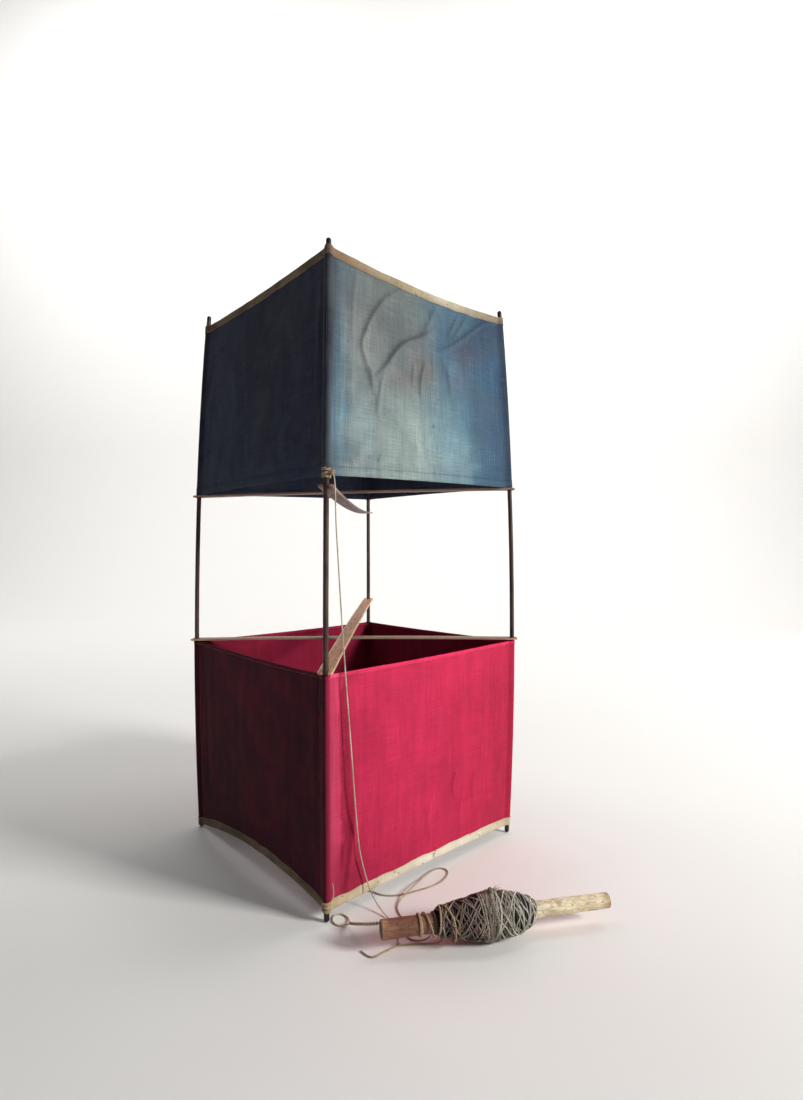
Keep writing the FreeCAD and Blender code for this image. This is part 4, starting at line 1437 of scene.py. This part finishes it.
STAY_ROUTE = (
    (0.0062, -0.2730, 0.0260), (0.0092, -0.2708, 0.0330), (0.0090, -0.2706, 0.0430),
    (0.0078, -0.2718, 0.0514),
)


# ---- twine
def travelled(line: np.ndarray) -> np.ndarray:
    """The distance gone along a line at each of its points."""
    return np.concatenate([[0.0], np.cumsum(np.linalg.norm(np.diff(line, axis=0), axis=1))])


def spaced(line: np.ndarray, step: float) -> np.ndarray:
    """A line's points at even steps.

    Args:
        line: The points.
        step: About the distance between the new ones.

    Returns:
        The new points, with the line's own ends.
    """
    gone = travelled(line)
    count = max(3, round(gone[-1] / step) + 1)
    at = np.linspace(0, gone[-1], count)
    return np.stack([np.interp(at, gone, line[:, c]) for c in range(3)], axis=-1)


def frames(line: np.ndarray) -> tuple[np.ndarray, np.ndarray]:
    """Two sideways directions at each point of a line, which turn as little as they can."""
    tangent = np.gradient(line, axis=0)
    tangent /= np.linalg.norm(tangent, axis=1, keepdims=True)
    side = np.empty_like(line)
    current = np.array([0.0, 0.0, 1.0]) if abs(tangent[0][2]) < 0.9 else np.array([1.0, 0.0, 0.0])
    for number, way in enumerate(tangent):
        current = current - way * (current @ way)
        current /= np.linalg.norm(current)
        side[number] = current
    return side, np.cross(tangent, side)


def tube(line: np.ndarray, radius: np.ndarray | float, sides: int, dye_and_shade: np.ndarray) -> Skin:
    """A round thread along a line.

    Args:
        line: The points that it follows.
        radius: Its radius, or one for each point.
        sides: Number of sides.
        dye_and_shade: Its colour, or one for each point.

    Returns:
        The closed skin.
    """
    side, other = frames(line)
    rows = len(line)
    angle = np.arange(sides) * TAU / sides
    ring = side[:, None] * np.cos(angle)[None, :, None] + other[:, None] * np.sin(angle)[None, :, None]
    points = line[:, None] + ring * np.broadcast_to(radius, rows)[:, None, None]
    flat = np.stack(np.broadcast_arrays(travelled(line)[:, None], angle[None, :] / TAU), axis=-1)
    colour = np.broadcast_to(np.asarray(dye_and_shade, float).reshape(-1, 1, 3), (rows, sides, 3))
    faces = lattice(rows, sides, round_columns=True)
    faces.append(tuple(range(sides))[::-1])
    faces.append(tuple((rows - 1) * sides + j for j in range(sides)))
    return Skin(points.reshape(-1, 3), faces, flat.reshape(-1, 2), colour.reshape(-1, 3))


def plied(line: np.ndarray, reach: float, lay: float, sides: int, dye_and_shade: Callable[[np.ndarray], np.ndarray],
          plies: int = 2, thin: float = 0.52) -> Skin:
    """Plies laid round each other along a line.

    Args:
        line: The twine's own line.
        reach: The twine's radius.
        lay: Length of one turn.
        sides: Sides of a ply.
        dye_and_shade: Gives a colour for each distance along.
        plies: How many.
        thin: A ply's radius as a share of the twine's.

    Returns:
        The skin.
    """
    fine = spaced(line, lay / 13)
    side, other = frames(fine)
    gone = travelled(fine)
    turn = TAU * gone / lay
    swell = 1 + 0.05 * patches(gone, 0 * gone, 0.011, 8)
    parts = []
    for ply in range(plies):
        angle = (turn + ply * TAU / plies)[:, None]
        centre = fine + reach * (1 - thin) * (side * np.cos(angle) + other * np.sin(angle))
        parts.append(tube(centre, reach * thin * swell, sides, dye_and_shade(gone)))
    return Skin.joined(parts)


@dataclass(frozen=True)
class Route:
    """A twine's way: the control points of one smooth curve."""

    name: str
    points: Sequence[Point]
    fineness: int = 14

    def line(self, step: float) -> np.ndarray:
        """The curve's own points, read back and spaced evenly.

        Args:
            step: About the distance between them.

        Returns:
            The points, in order.
        """
        curve = bpy.data.curves.new(self.name, "CURVE")
        curve.dimensions = "3D"
        curve.resolution_u = self.fineness
        spline = curve.splines.new("NURBS")
        spline.points.add(len(self.points) - 1)
        for knot, place in zip(spline.points, self.points):
            knot.co = (*place, 1.0)
        spline.order_u = 3
        spline.use_endpoint_u = True
        holder = placed(self.name, curve)
        view = bpy.context.evaluated_depsgraph_get()
        mesh = bpy.data.meshes.new_from_object(holder.evaluated_get(view))
        raw = np.zeros(len(mesh.vertices) * 3)
        mesh.vertices.foreach_get("co", raw)
        bpy.data.objects.remove(holder)
        bpy.data.curves.remove(curve)
        bpy.data.meshes.remove(mesh)
        return spaced(raw.reshape(-1, 3), step)


class Shade(Enum):
    """How a twine is coloured along its way."""

    PALE = (TWINE_PALE, rgb(244, 234, 214))
    TAN = (TWINE_TAN, rgb(224, 200, 164))
    DARK = (rgb(112, 84, 66), rgb(148, 118, 94))
    ROPE = (rgb(222, 200, 168), rgb(250, 238, 212))
    GREY = (rgb(150, 138, 120), rgb(190, 178, 156))

    def along(self, gone: np.ndarray) -> np.ndarray:
        """Its colour at distances along."""
        low, high = (np.array(c) for c in self.value)
        share = (0.5 + 0.5 * patches(gone, 0 * gone, 0.017, 6))[:, None]
        return low * (1 - share) + high * share


@dataclass(frozen=True)
class Line:
    """A free twine of the kite."""

    name: str
    node: str
    route: tuple[Point, ...]
    length: float
    diameter: float
    shade: Shade
    far_end: str = "object"
    lay: str = "loose"
    twist: float = 0.0062

    def build(self, pieces: Sequence[Piece] = ()) -> Piece:
        """Args:
            pieces: Not used.

        Returns:
            The twine's piece.
        """
        path = Route(self.name, self.route).line(0.0015)
        skin = plied(path, self.diameter * 0.57, self.twist, 6, self.shade.along)
        piece = skin.built(self.name, dressed(FINISHES.twine))
        settled(piece, "kite", [self.node])
        return piece


def trefoil(count: int) -> np.ndarray:
    """The three coordinates of a simple knot's points, about the origin and three units in radius."""
    t = np.linspace(0.0, TAU, count)
    return np.stack([np.sin(t) + 2 * np.sin(2 * t), np.cos(t) - 2 * np.cos(2 * t), np.sin(3 * t)])


@dataclass(frozen=True)
class Knot:
    """A tight overhand knot with its ends drawn in."""

    name: str
    node: str
    centre: Point
    size: float
    thickness: float = 0.00085
    tilt: float = 0.5

    def build(self) -> Piece:
        """Tie the knot."""
        scale = (self.size - self.thickness) / 3.0
        x, y, z = trefoil(40)
        z = z * -1.5
        c, s = math.cos(self.tilt), math.sin(self.tilt)
        loop = np.stack([x, c * y - s * z, s * y + c * z], axis=-1) * scale + np.array(self.centre)
        path = Route(self.name, loop.tolist(), 4).line(0.0006)
        skin = plied(path, self.thickness, 0.0045, 6, Shade.TAN.along)
        return settled(skin.built(self.name, dressed(FINISHES.twine)), "kite", [self.node])


@dataclass(frozen=True)
class Lashing:
    """Turns of twine round the near stick and its pocket."""

    name: str
    nodes: tuple[str, ...]
    low: float
    high: float
    turns: float
    radius: float = 0.0057
    seed: int = 1
    stay: tuple[Point, ...] = ()

    def build(self) -> Piece:
        """Wind the lashing."""
        per_turn = 14
        t = np.linspace(0.0, 1.0, round(self.turns * per_turn) + 1)
        angle = TAU * self.turns * t - math.pi / 2
        wander = 0.0011 * patches(t * 0.3, 0 * t, 0.02, self.seed)
        z = self.low + (self.high - self.low) * (0.5 - 0.5 * np.cos(math.pi * t * 3)) + wander
        radius = self.radius + 0.0005 * patches(t, 0 * t, 0.03, self.seed + 1)
        reach = BOW.reach(z)
        points = np.stack([radius * np.cos(angle), -reach + radius * np.sin(angle), z], axis=-1)
        path = Route(self.name, points.tolist(), 4).line(0.0012)
        parts = [plied(path, 0.00095, 0.0055, 6, Shade.TAN.along)]
        if self.stay:
            thread = Route(self.name + "_stay", self.stay).line(0.001)
            parts.append(plied(thread, 0.0007, 0.004, 5, Shade.ROPE.along))
        piece = Skin.joined(parts).built(self.name, dressed(FINISHES.twine))
        return settled(piece, "kite", self.nodes)


# ---- the winder
@dataclass(frozen=True)
class HandleFinish:
    """The winder's round stick: bark rubbed off, mottled and spotted."""

    name: str
    slot: str
    mottle: Colour = (0.58, 0.43, 0.33)
    spot: Colour = (0.40, 0.20, 0.11)

    def material(self) -> bpy.types.Material:
        """The finish as a material."""
        t, shader = principled(self.name)
        flat = t.coordinates("UV")
        dye_and_shade = t.attribute("dye_and_shade")
        fine = t.noise(t.mapped(flat, (60, 420, 1)), 1.0, 5.0, 0.65, 0.8)
        cloud = t.noise(t.mapped(flat, (55, 75, 1)), 1.0, 4.0, 0.6, 0.6)
        speck = t.noise(t.mapped(flat, (170, 190, 1)), 1.0, 3.0, 0.55)
        grained = t.mix(t.between(fine, 0.35, 0.65), t.mix(0.38, dye_and_shade, BLACK), dye_and_shade)
        mottled = t.mix(t.between(cloud, 0.52, 0.68, 0.0, 0.60), grained, self.mottle, "MULTIPLY")
        spotted = t.mix(t.between(speck, 0.60, 0.68, 0.0, 0.85), mottled, self.spot, "MULTIPLY")
        t.feed(shader.inputs["Base Color"], spotted)
        t.feed(shader.inputs["Roughness"], t.between(cloud, 0.3, 0.7, 0.62, 0.42))
        height = t.math("ADD", fine, t.math("MULTIPLY", cloud, 0.8))
        t.feed(shader.inputs["Normal"], t.bump(height, 0.5, 0.0005))
        shader.inputs["Specular IOR Level"].default_value = 0.35
        return t.owner


Finish = ClothFinish | WoodFinish | TwineFinish | ThreadFinish | HandleFinish


@dataclass
class Winder:
    """The round stick with the flying line wound on it."""

    left: Point = (0.0764, -0.3317, 0.029)
    heading: float = 14.65
    length: float = 0.305
    left_radius: float = 0.0115
    right_radius: float = 0.0095
    edge: float = 0.0016
    line_length: float = 38.0
    cross_passes: int = 34
    belt_passes: int = 9
    line_diameter: float = 0.002
    outline: tuple[tuple[float, float], ...] = (
        (0.063, 0.0126), (0.0775, 0.0188), (0.095, 0.0216), (0.118, 0.0262), (0.142, 0.0289),
        (0.166, 0.0272), (0.178, 0.0242), (0.190, 0.0198), (0.205, 0.0112),
    )

    def place(self, station: np.ndarray, angle: np.ndarray, radius: np.ndarray) -> np.ndarray:
        """Points round the stick's axis.

        Args:
            station: Distance from the left end.
            angle: Turn about the axis; 0 faces away from the viewer and a quarter turn is up.
            radius: Distance from the axis.

        Returns:
            The points, with the coordinates on the last axis.
        """
        h = math.radians(self.heading)
        along, aside = np.array([math.cos(h), math.sin(h), 0.0]), np.array([-math.sin(h), math.cos(h), 0.0])
        up = np.array([0.0, 0.0, 1.0])
        station, angle, radius = (v[..., None] for v in np.broadcast_arrays(station, angle, radius))
        ring = aside * np.cos(angle) + up * np.sin(angle)
        return np.array(self.left) + along * station + ring * radius

    def girth(self, station: np.ndarray) -> np.ndarray:
        """The stick's radius at a station."""
        share = np.clip(station / self.length, 0, 1)
        return self.left_radius + (self.right_radius - self.left_radius) * share

    def room(self, station: np.ndarray) -> np.ndarray:
        """The winding's outer radius at a station."""
        s, r = zip(*self.outline)
        return np.interp(station, s, r)

    def profile(self) -> tuple[np.ndarray, np.ndarray, np.ndarray]:
        """The stick's outline, from the middle of its left end to the middle of its right one.

        Returns:
            The stations, the radii, and how far out on an end's face each point lies, with 1 off it.
        """
        inner = np.array([0.002, 0.004, 0.006, 0.008])
        bend = np.linspace(0, math.pi / 2, 7)
        deep, short = self.edge * (1 - np.cos(bend)), self.edge * (1 - np.sin(bend))
        shaft = np.linspace(self.edge, self.length - self.edge, 170)[1:-1]
        stations = (np.full(len(inner), 0.0004), deep, shaft, self.length - deep[::-1],
                    np.full(len(inner), self.length - 0.0002))
        radii = (inner, self.left_radius - short, self.girth(shaft), self.right_radius - short[::-1],
                 inner[::-1])
        shares = (inner / self.left_radius, np.ones(2 * len(bend) + len(shaft)),
                  inner[::-1] / self.right_radius)
        return np.concatenate(stations), np.concatenate(radii), np.concatenate(shares)

    def stick(self) -> Piece:
        """The round stick: a little lumpy, with worn ends."""
        sides = 72
        angle = np.arange(sides) * TAU / sides
        stations, radii, shares = (v[:, None] for v in self.profile())
        s, r = stations + 0 * angle, radii + 0 * angle
        a = np.broadcast_to(angle, s.shape)
        around = a * 0.0105
        lump = 0.00022 * patches(s, around, 0.024, 71) + 0.00012 * patches(s * 0.4, around, 0.006, 72)
        seam = 0.0003 * (patches(s * 0.2, around, 0.0035, 79) > 0.55)
        groove = 0.0005 * np.exp(-(((a - 2.25) / 0.035) ** 2))
        groove = groove * smooth((s - 0.012) / 0.01) * smooth((0.058 - s) / 0.01)
        dent = 0.0006 * np.exp(-(((s - 0.268) / 0.004) ** 2 + ((a - 2.0) / 0.35) ** 2))
        inside = shares < 0.99
        face = inside | (s < 0.0005) | (s > self.length - 0.0005)
        r = np.where(face, r, r - 0.0002 + lump - seam * 0.4 - groove - dent)
        s = np.where(inside, s + 0.00025 * patches(r * 40, around * 8, 0.05, 73), s)
        points = self.place(s, a, r).reshape(-1, 3)
        rows = len(stations)
        ends = self.place(np.array([0.0002, self.length - 0.0002]), np.zeros(2), np.zeros(2))
        points = np.concatenate([points, ends])
        faces = lattice(rows, sides, round_columns=True)
        first, last = len(points) - 2, len(points) - 1
        base = (rows - 1) * sides
        faces += [((j + 1) % sides, j, first) for j in range(sides)]
        faces += [(base + j, base + (j + 1) % sides, last) for j in range(sides)]
        flat = np.stack([s, around], axis=-1).reshape(-1, 2)
        flat = np.concatenate([flat, [[0.0, 0.0], [self.length, 0.0]]])
        dye_and_shade = self.tint(s, a, shares).reshape(-1, 3)
        dye_and_shade = np.concatenate([dye_and_shade, dye_and_shade[:1], dye_and_shade[-1:]])
        finish = HandleFinish("handle_wood", "winder_wood")
        piece = Skin(points, faces, flat, dye_and_shade).built("winder_wood", dressed(finish))
        return settled(piece, "winder", ["winder_stick"])

    def tint(self, s: np.ndarray, a: np.ndarray, share: np.ndarray) -> np.ndarray:
        """The stick's colour: red-brown at the left end, pale at the right, dark on the end's face.

        Args:
            s: Distance from the left end.
            a: Turn about the axis.
            share: How far out on an end's face, with 1 off it.

        Returns:
            The colours, with their parts on the last axis.
        """
        places = (0.0, 0.012, 0.05, 0.075, 0.19, 0.205, 0.24, 0.29, 0.305)
        tints = (rgb(176, 132, 100), rgb(160, 114, 84), rgb(146, 100, 76), rgb(124, 90, 74),
                 rgb(226, 206, 168), rgb(250, 236, 204), rgb(246, 230, 194), rgb(242, 224, 188),
                 rgb(186, 156, 120))
        tone = np.stack([np.interp(s, places, [c[k] for c in tints]) for k in range(3)], axis=-1)
        red = smooth((patches(s, a * 0.0105, 0.014, 75) - 0.05) / 0.5) * smooth((0.075 - s) / 0.01)
        tone = tone * (1 - 0.6 * red[..., None]) + np.array(rgb(112, 70, 56)) * 0.6 * red[..., None]
        olive = smooth((patches(s, a * 0.0105, 0.020, 76) - 0.1) / 0.5) * smooth((s - 0.19) / 0.01)
        tone = tone * (1 - 0.5 * olive[..., None]) + np.array(rgb(176, 162, 118)) * 0.5 * olive[..., None]
        face = smooth((0.93 - share) / 0.10)[..., None] * np.ones_like(s)[..., None]
        rim = np.exp(-(((share - 0.955) / 0.03) ** 2))[..., None] * (s < 0.0016)[..., None]
        tone = tone * (1 - face) + np.array(rgb(62, 50, 47)) * face
        return tone * (1 - 0.8 * rim) + np.array(rgb(206, 190, 168)) * 0.8 * rim

    def winding(self) -> np.ndarray:
        """The wound line's control points, from its outer end to its inner one."""
        per_turn, half = 16, self.line_diameter / 2
        rng = np.random.default_rng(404)
        s_all, a_all, r_all = [], [], []
        angle, forward = 0.0, True
        grid = np.linspace(self.outline[0][0], self.outline[-1][0], 400)
        layer = 0
        radius = self.left_radius + half
        while True:
            fits = grid[self.room(grid) - half * 1.3 >= radius]
            if len(fits) < 12 or fits[-1] - fits[0] < 0.03:
                break
            low, high = fits[0], fits[-1]
            turns = (high - low) / 0.00310
            count = round(turns * per_turn)
            share = np.linspace(0, 1, count)
            walk = low + (high - low) * (share if forward else 1 - share)
            walk = walk + 0.0004 * patches(share * 6, 0 * share, 0.05, 500 + layer)
            s_all.append(walk)
            a_all.append(angle + TAU * turns * share)
            r_all.append(np.full(count, radius))
            angle += TAU * turns + TAU / per_turn
            forward = not forward
            radius += 0.00192
            layer += 1
        for number in range(self.cross_passes):
            low, high = rng.uniform(0.068, 0.080), rng.uniform(0.182, 0.199)
            turns = (high - low) / rng.uniform(0.050, 0.125)
            share = np.linspace(0, 1, round(turns * per_turn))
            gone = 0.7 * share + 0.3 * smooth(share)
            walk = low + (high - low) * (gone if forward else 1 - gone)
            walk = walk + 0.0020 * patches(share * 3, 0 * share, 0.06, 600 + number)
            s_all.append(walk)
            a_all.append(angle + TAU * turns * share)
            rise = -0.0012 + 0.0017 * number / self.cross_passes
            lift = 0.0004 * patches(share * 4, 0 * share, 0.05, 700 + number)
            r_all.append(self.room(walk) - half + rise + lift)
            angle += TAU * turns + TAU / per_turn
            forward = not forward
        for number in range(self.belt_passes):
            turns = rng.uniform(2.2, 3.4)
            share = np.linspace(0, 1, round(turns * per_turn))
            around = angle + TAU * turns * share
            base = rng.uniform(0.112, 0.150) + rng.uniform(-0.012, 0.012) * share
            walk = base + rng.uniform(0.002, 0.011) * np.sin(around + rng.uniform(0, TAU))
            s_all.append(walk)
            a_all.append(around)
            r_all.append(self.room(walk) - half * 0.8 + 0.0011 * number / self.belt_passes)
            angle += TAU * turns + TAU / per_turn
        finish = -math.pi / 2
        s, a, r = (np.concatenate(v) for v in (s_all, a_all, r_all))
        short = (finish - a[-1]) % TAU
        steps = max(2, round(short / TAU * per_turn))
        share = np.linspace(0, 1, steps + 1)[1:]
        s = np.concatenate([s, s[-1] + (0.0772 - s[-1]) * share])
        a = np.concatenate([a, a[-1] + short * share])
        r = np.concatenate([r, self.room(s[-steps:]) - half])
        return self.place(s, a, r)[::-1]

    def wound(self) -> Piece:
        """The line wound on the stick."""
        path = Route("wound_line_way", self.winding().tolist(), 3).line(0.0046)
        log.info("the wound line is %.2f m long", travelled(path)[-1])
        h = math.radians(self.heading)
        away = path - np.array(self.left)
        s = away[:, 0] * math.cos(h) + away[:, 1] * math.sin(h)
        gone = travelled(path)
        depth = self.room(s) - np.hypot(away[:, 2], away[:, 1] * math.cos(h) - away[:, 0] * math.sin(h))
        dirt_and_shade = (0.5 + 0.5 * patches(s, gone * 0.02, 0.011, 81))[:, None]
        # Painted light and shade: the twine on the left of the winding is painted dark as if in shadow and
        # that on the right pale as if lit, with random tone between two colours of each.
        dark = np.array(rgb(116, 95, 86)) * (1 - dirt_and_shade) + np.array(rgb(190, 172, 156)) * dirt_and_shade
        pale = np.array(rgb(220, 212, 192)) * (1 - dirt_and_shade) + np.array(rgb(252, 248, 234)) * dirt_and_shade
        share = smooth((s - 0.124 + 0.014 * patches(gone, 0 * gone, 0.4, 82)) / 0.036)[:, None]
        # Painted shade: twine lying deeper in the winding is painted darker, down to 0.05 of its colour.
        deep = (0.05 + 0.95 * smooth((0.0036 - depth) / 0.0024))[:, None]
        skin = tube(path, self.line_diameter / 2, 6, (dark * (1 - share) + pale * share) * deep)
        piece = skin.built("wound_twine", dressed(FINISHES.wound))
        settled(piece, "winder", ["wound_line"])
        return piece

    def loose_turns(self) -> Piece:
        """Two turns beside the winding, and a slack one over its shoulder."""
        stations = ((0.0, 0.0470, 0.0125), (1.0, 0.0478, 0.0125), (2.0, 0.0500, 0.0126),
                    (2.45, 0.0560, 0.0128), (2.8, 0.0640, 0.0150), (3.2, 0.0700, 0.0168),
                    (3.6, 0.0880, 0.0212), (4.0, 0.0900, 0.0222), (4.35, 0.0760, 0.0182),
                    (4.8, 0.0690, 0.0166))
        turns, s, r = (np.array(v) for v in zip(*stations))
        t = np.linspace(0, turns[-1], round(turns[-1] * 15) + 1)
        walk, reach = np.interp(t, turns, s), np.interp(t, turns, r)
        stand = 0.0022 * np.exp(-(((t - 3.75) / 0.16) ** 2))
        points = self.place(walk, -1.2 + TAU * t, reach + stand)
        path = Route("loose_turns_way", points.tolist(), 4).line(0.0012)
        log.info("the loose turns are %.3f m long", travelled(path)[-1])
        piece = plied(path, self.line_diameter * 0.57, 0.0062, 6, Shade.TAN.along).built(
            "loose_turns", dressed(FINISHES.twine))
        settled(piece, "winder", ["winder_loose_turns"])
        return piece

    def tuft(self) -> Piece:
        """The line's frayed inner end, knotted on top of the winding."""
        centre = np.array([0.2138, -0.2958, 0.0614])
        loop = trefoil(34).T * (0.0013, 0.0010, 0.0014) + centre
        path = Route("end_knot_way", loop.tolist(), 3).line(0.0006)
        parts = [plied(path, 0.0011, 0.005, 6, Shade.GREY.along)]
        rng = np.random.default_rng(12)
        root = centre + np.array([0.0030, 0.0006, 0.0])
        for _ in range(18):
            turn, rise = rng.uniform(-0.9, 1.3), rng.uniform(-0.1, 0.7)
            way = np.array([math.cos(turn), math.sin(turn), rise])
            reach = rng.uniform(0.003, 0.009)
            bend = np.array([rng.uniform(-1, 1), rng.uniform(-1, 1), -0.4]) * 0.0020
            u = np.linspace(0, 1, 7)[:, None]
            fibre = root + way * reach * u + bend * u**2
            parts.append(tube(fibre, 0.00022, 4, Shade.ROPE.along(np.zeros(1))))
        piece = Skin.joined(parts).built("frayed_end", dressed(FINISHES.twine))
        return settled(piece, "winder", ["winding_end_knot"])

    def build(self) -> None:
        """Make the winder's pieces."""
        self.stick()
        self.wound()
        self.loose_turns()
        self.tuft()


# ---- the kite's sticks
STICKS: dict[str, WoodFinish] = {
    **{f"{corner.name.lower()}_longeron": FINISHES.sticks for corner in Corner},
    "lower_fore_aft_spreader": FINISHES.tan,
    "upper_fore_aft_spreader": FINISHES.brown,
    "lower_cross_spreader": FINISHES.tan_cross,
    "upper_cross_spreader": FINISHES.brown_cross,
}


def dress_sticks() -> None:
    """Give the sticks and spreaders their wood."""
    for node, finish in STICKS.items():
        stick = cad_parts[node]
        stick.data.materials.clear()
        stick.data.materials.append(dressed(finish))
        log.info("%s is dressed in %s", node, finish.name)


# ---- lines of the kite
TAIL = Line("line_end", "line_tail", TAIL_ROUTE, 0.056, 0.002, Shade.TAN, "bare")
TOW = Line("flying_line", "tow_line", TOW_ROUTE, 0.679, 0.002, Shade.PALE, "knot", "hanging")
BRIDLE = Line("lower_line", "lower_bridle_line", BRIDLE_ROUTE, 0.504, 0.002, Shade.TAN)
LEAD = Line("winder_lead", "winder_lead_line", LEAD_ROUTE, 0.056, 0.002, Shade.TAN)
EYE = Line("becket_loop", "becket_eye", EYE_ROUTE, 0.078, 0.002, Shade.ROPE)
TWIST = Line("becket", "becket_twist", TWIST_ROUTE, 0.105, 0.0038, Shade.ROPE, "object", "loose", 0.0090)


def build_lines() -> None:
    """Lay the free lines, tie their knots and wind the lashings."""
    Knot("towing_knot", "tow_knot", (0.0086, -0.2812, 0.5946), 0.0042).build()
    joining = Knot("joining_knot", "line_knot", (0.0976, -0.3172, 0.0026), 0.0025, 0.0009, 0.15).build()
    TOW.build([joining])
    for line in (BRIDLE, LEAD, TAIL, TWIST, EYE):
        line.build()
    Lashing("towing_lashing", ("tow_lashing",), 0.5872, 0.5998, 7.0, seed=5).build()
    Lashing("foot_lashing_turns", ("foot_lashing", "stay_thread"), 0.0142, 0.0268, 8.0, seed=9,
            stay=STAY_ROUTE).build()


# ---- floor, light and camera
@dataclass(frozen=True)
class FloorFinish:
    """A pale, matt studio floor."""

    name: str = "studio_floor"
    tint: Colour = rgb(236, 234, 231)

    def material(self) -> bpy.types.Material:
        """The finish as a material."""
        t, shader = principled(self.name)
        tone = t.noise(t.coordinates(), 3.0, 3.0)
        t.feed(shader.inputs["Base Color"], t.mix(tone, tuple(c * 0.985 for c in self.tint), self.tint))
        shader.inputs["Roughness"].default_value = 0.9
        return t.owner


@dataclass(frozen=True)
class Studio:
    """The pale sweep, the soft lights and the camera."""

    camera_place: Point = (0.135, -1.0693, 0.487)
    camera_turn: Point = (math.pi / 2 + 0.006, 0.0, 0.045)
    lens: float = 19.806
    key: tuple[Point, float, float] = ((3.55, -1.40, 1.85), 168.0, 0.9)
    fill: float = 0.10

    def sweep(self) -> None:
        """A floor that curves up into a wall far behind."""
        profile = [(-4.0, 0.0), (3.0, 0.0)]
        turns = np.linspace(0.1, math.pi / 2, 14)
        profile += [(3.0 + 1.5 * math.sin(a), 1.5 - 1.5 * math.cos(a)) for a in turns]
        profile += [(4.5, 6.0)]
        columns = (-6.0, 6.0)
        points = [(x, y, z) for y, z in profile for x in columns]
        faces = lattice(len(profile), 2)
        mesh = bpy.data.meshes.new("studio_floor")
        mesh.from_pydata(points, [], faces)
        mesh.polygons.foreach_set("use_smooth", [True] * len(mesh.polygons))
        mesh.materials.append(FloorFinish().material())
        placed("studio_floor", mesh)

    def lamp(self, name: str, place: Point, power: float, size: float, aim: Point, tint: Colour) -> None:
        """A square soft light aimed at a point.

        Args:
            name: The lamp's name.
            place: Where it stands.
            power: Its power, watts.
            size: Its side, metres.
            aim: The point that it faces.
            tint: Its colour.
        """
        data = bpy.data.lights.new(name, "AREA")
        data.shape, data.size, data.energy, data.color = "SQUARE", size, power, tint
        lamp = placed(name, data)
        lamp.location = place
        lamp.rotation_euler = (Vector(aim) - Vector(place)).to_track_quat("-Z", "Y").to_euler()

    def light(self) -> None:
        """One large key light, a soft top light and a pale world."""
        place, power, size = self.key
        self.lamp("key_light", place, power, size, (0.0, 0.0, 0.45), (1.0, 0.99, 0.97))
        for aside in (-2.6, 2.6):
            self.lamp("wall_light", (aside, 1.7, 4.6), 150.0, 3.6, (aside * 0.8, 4.6, 2.4), (1.0, 1.0, 1.0))
        world = bpy.data.worlds.new("studio_world")
        world.use_nodes = True
        ground = world.node_tree.nodes["Background"]
        ground.inputs["Color"].default_value = (0.93, 0.95, 1.0, 1.0)
        ground.inputs["Strength"].default_value = self.fill
        bpy.context.scene.world = world

    def camera(self) -> None:
        """The camera, at eye height in front of the towing corner."""
        data = bpy.data.cameras.new("camera")
        data.lens, data.sensor_width = self.lens, 36.0
        data.clip_start, data.clip_end = 0.01, 50.0
        camera = placed("camera", data)
        camera.location, camera.rotation_euler = self.camera_place, self.camera_turn
        bpy.context.scene.camera = camera
        bpy.context.scene.view_settings.view_transform = "Standard"

    def build(self) -> None:
        """Set the studio up."""
        self.sweep()
        self.light()
        self.camera()


def main() -> None:
    """Build everything in order."""
    logging.basicConfig(level=logging.INFO, format="%(name)s: %(message)s")
    Studio().build()
    dress_sticks()
    stitcher = Stitcher()
    for cell in (upper_cell(), lower_cell()):
        cell.build(stitcher)
    build_lines()
    Winder().build()


if __name__ == "__main__":
    main()
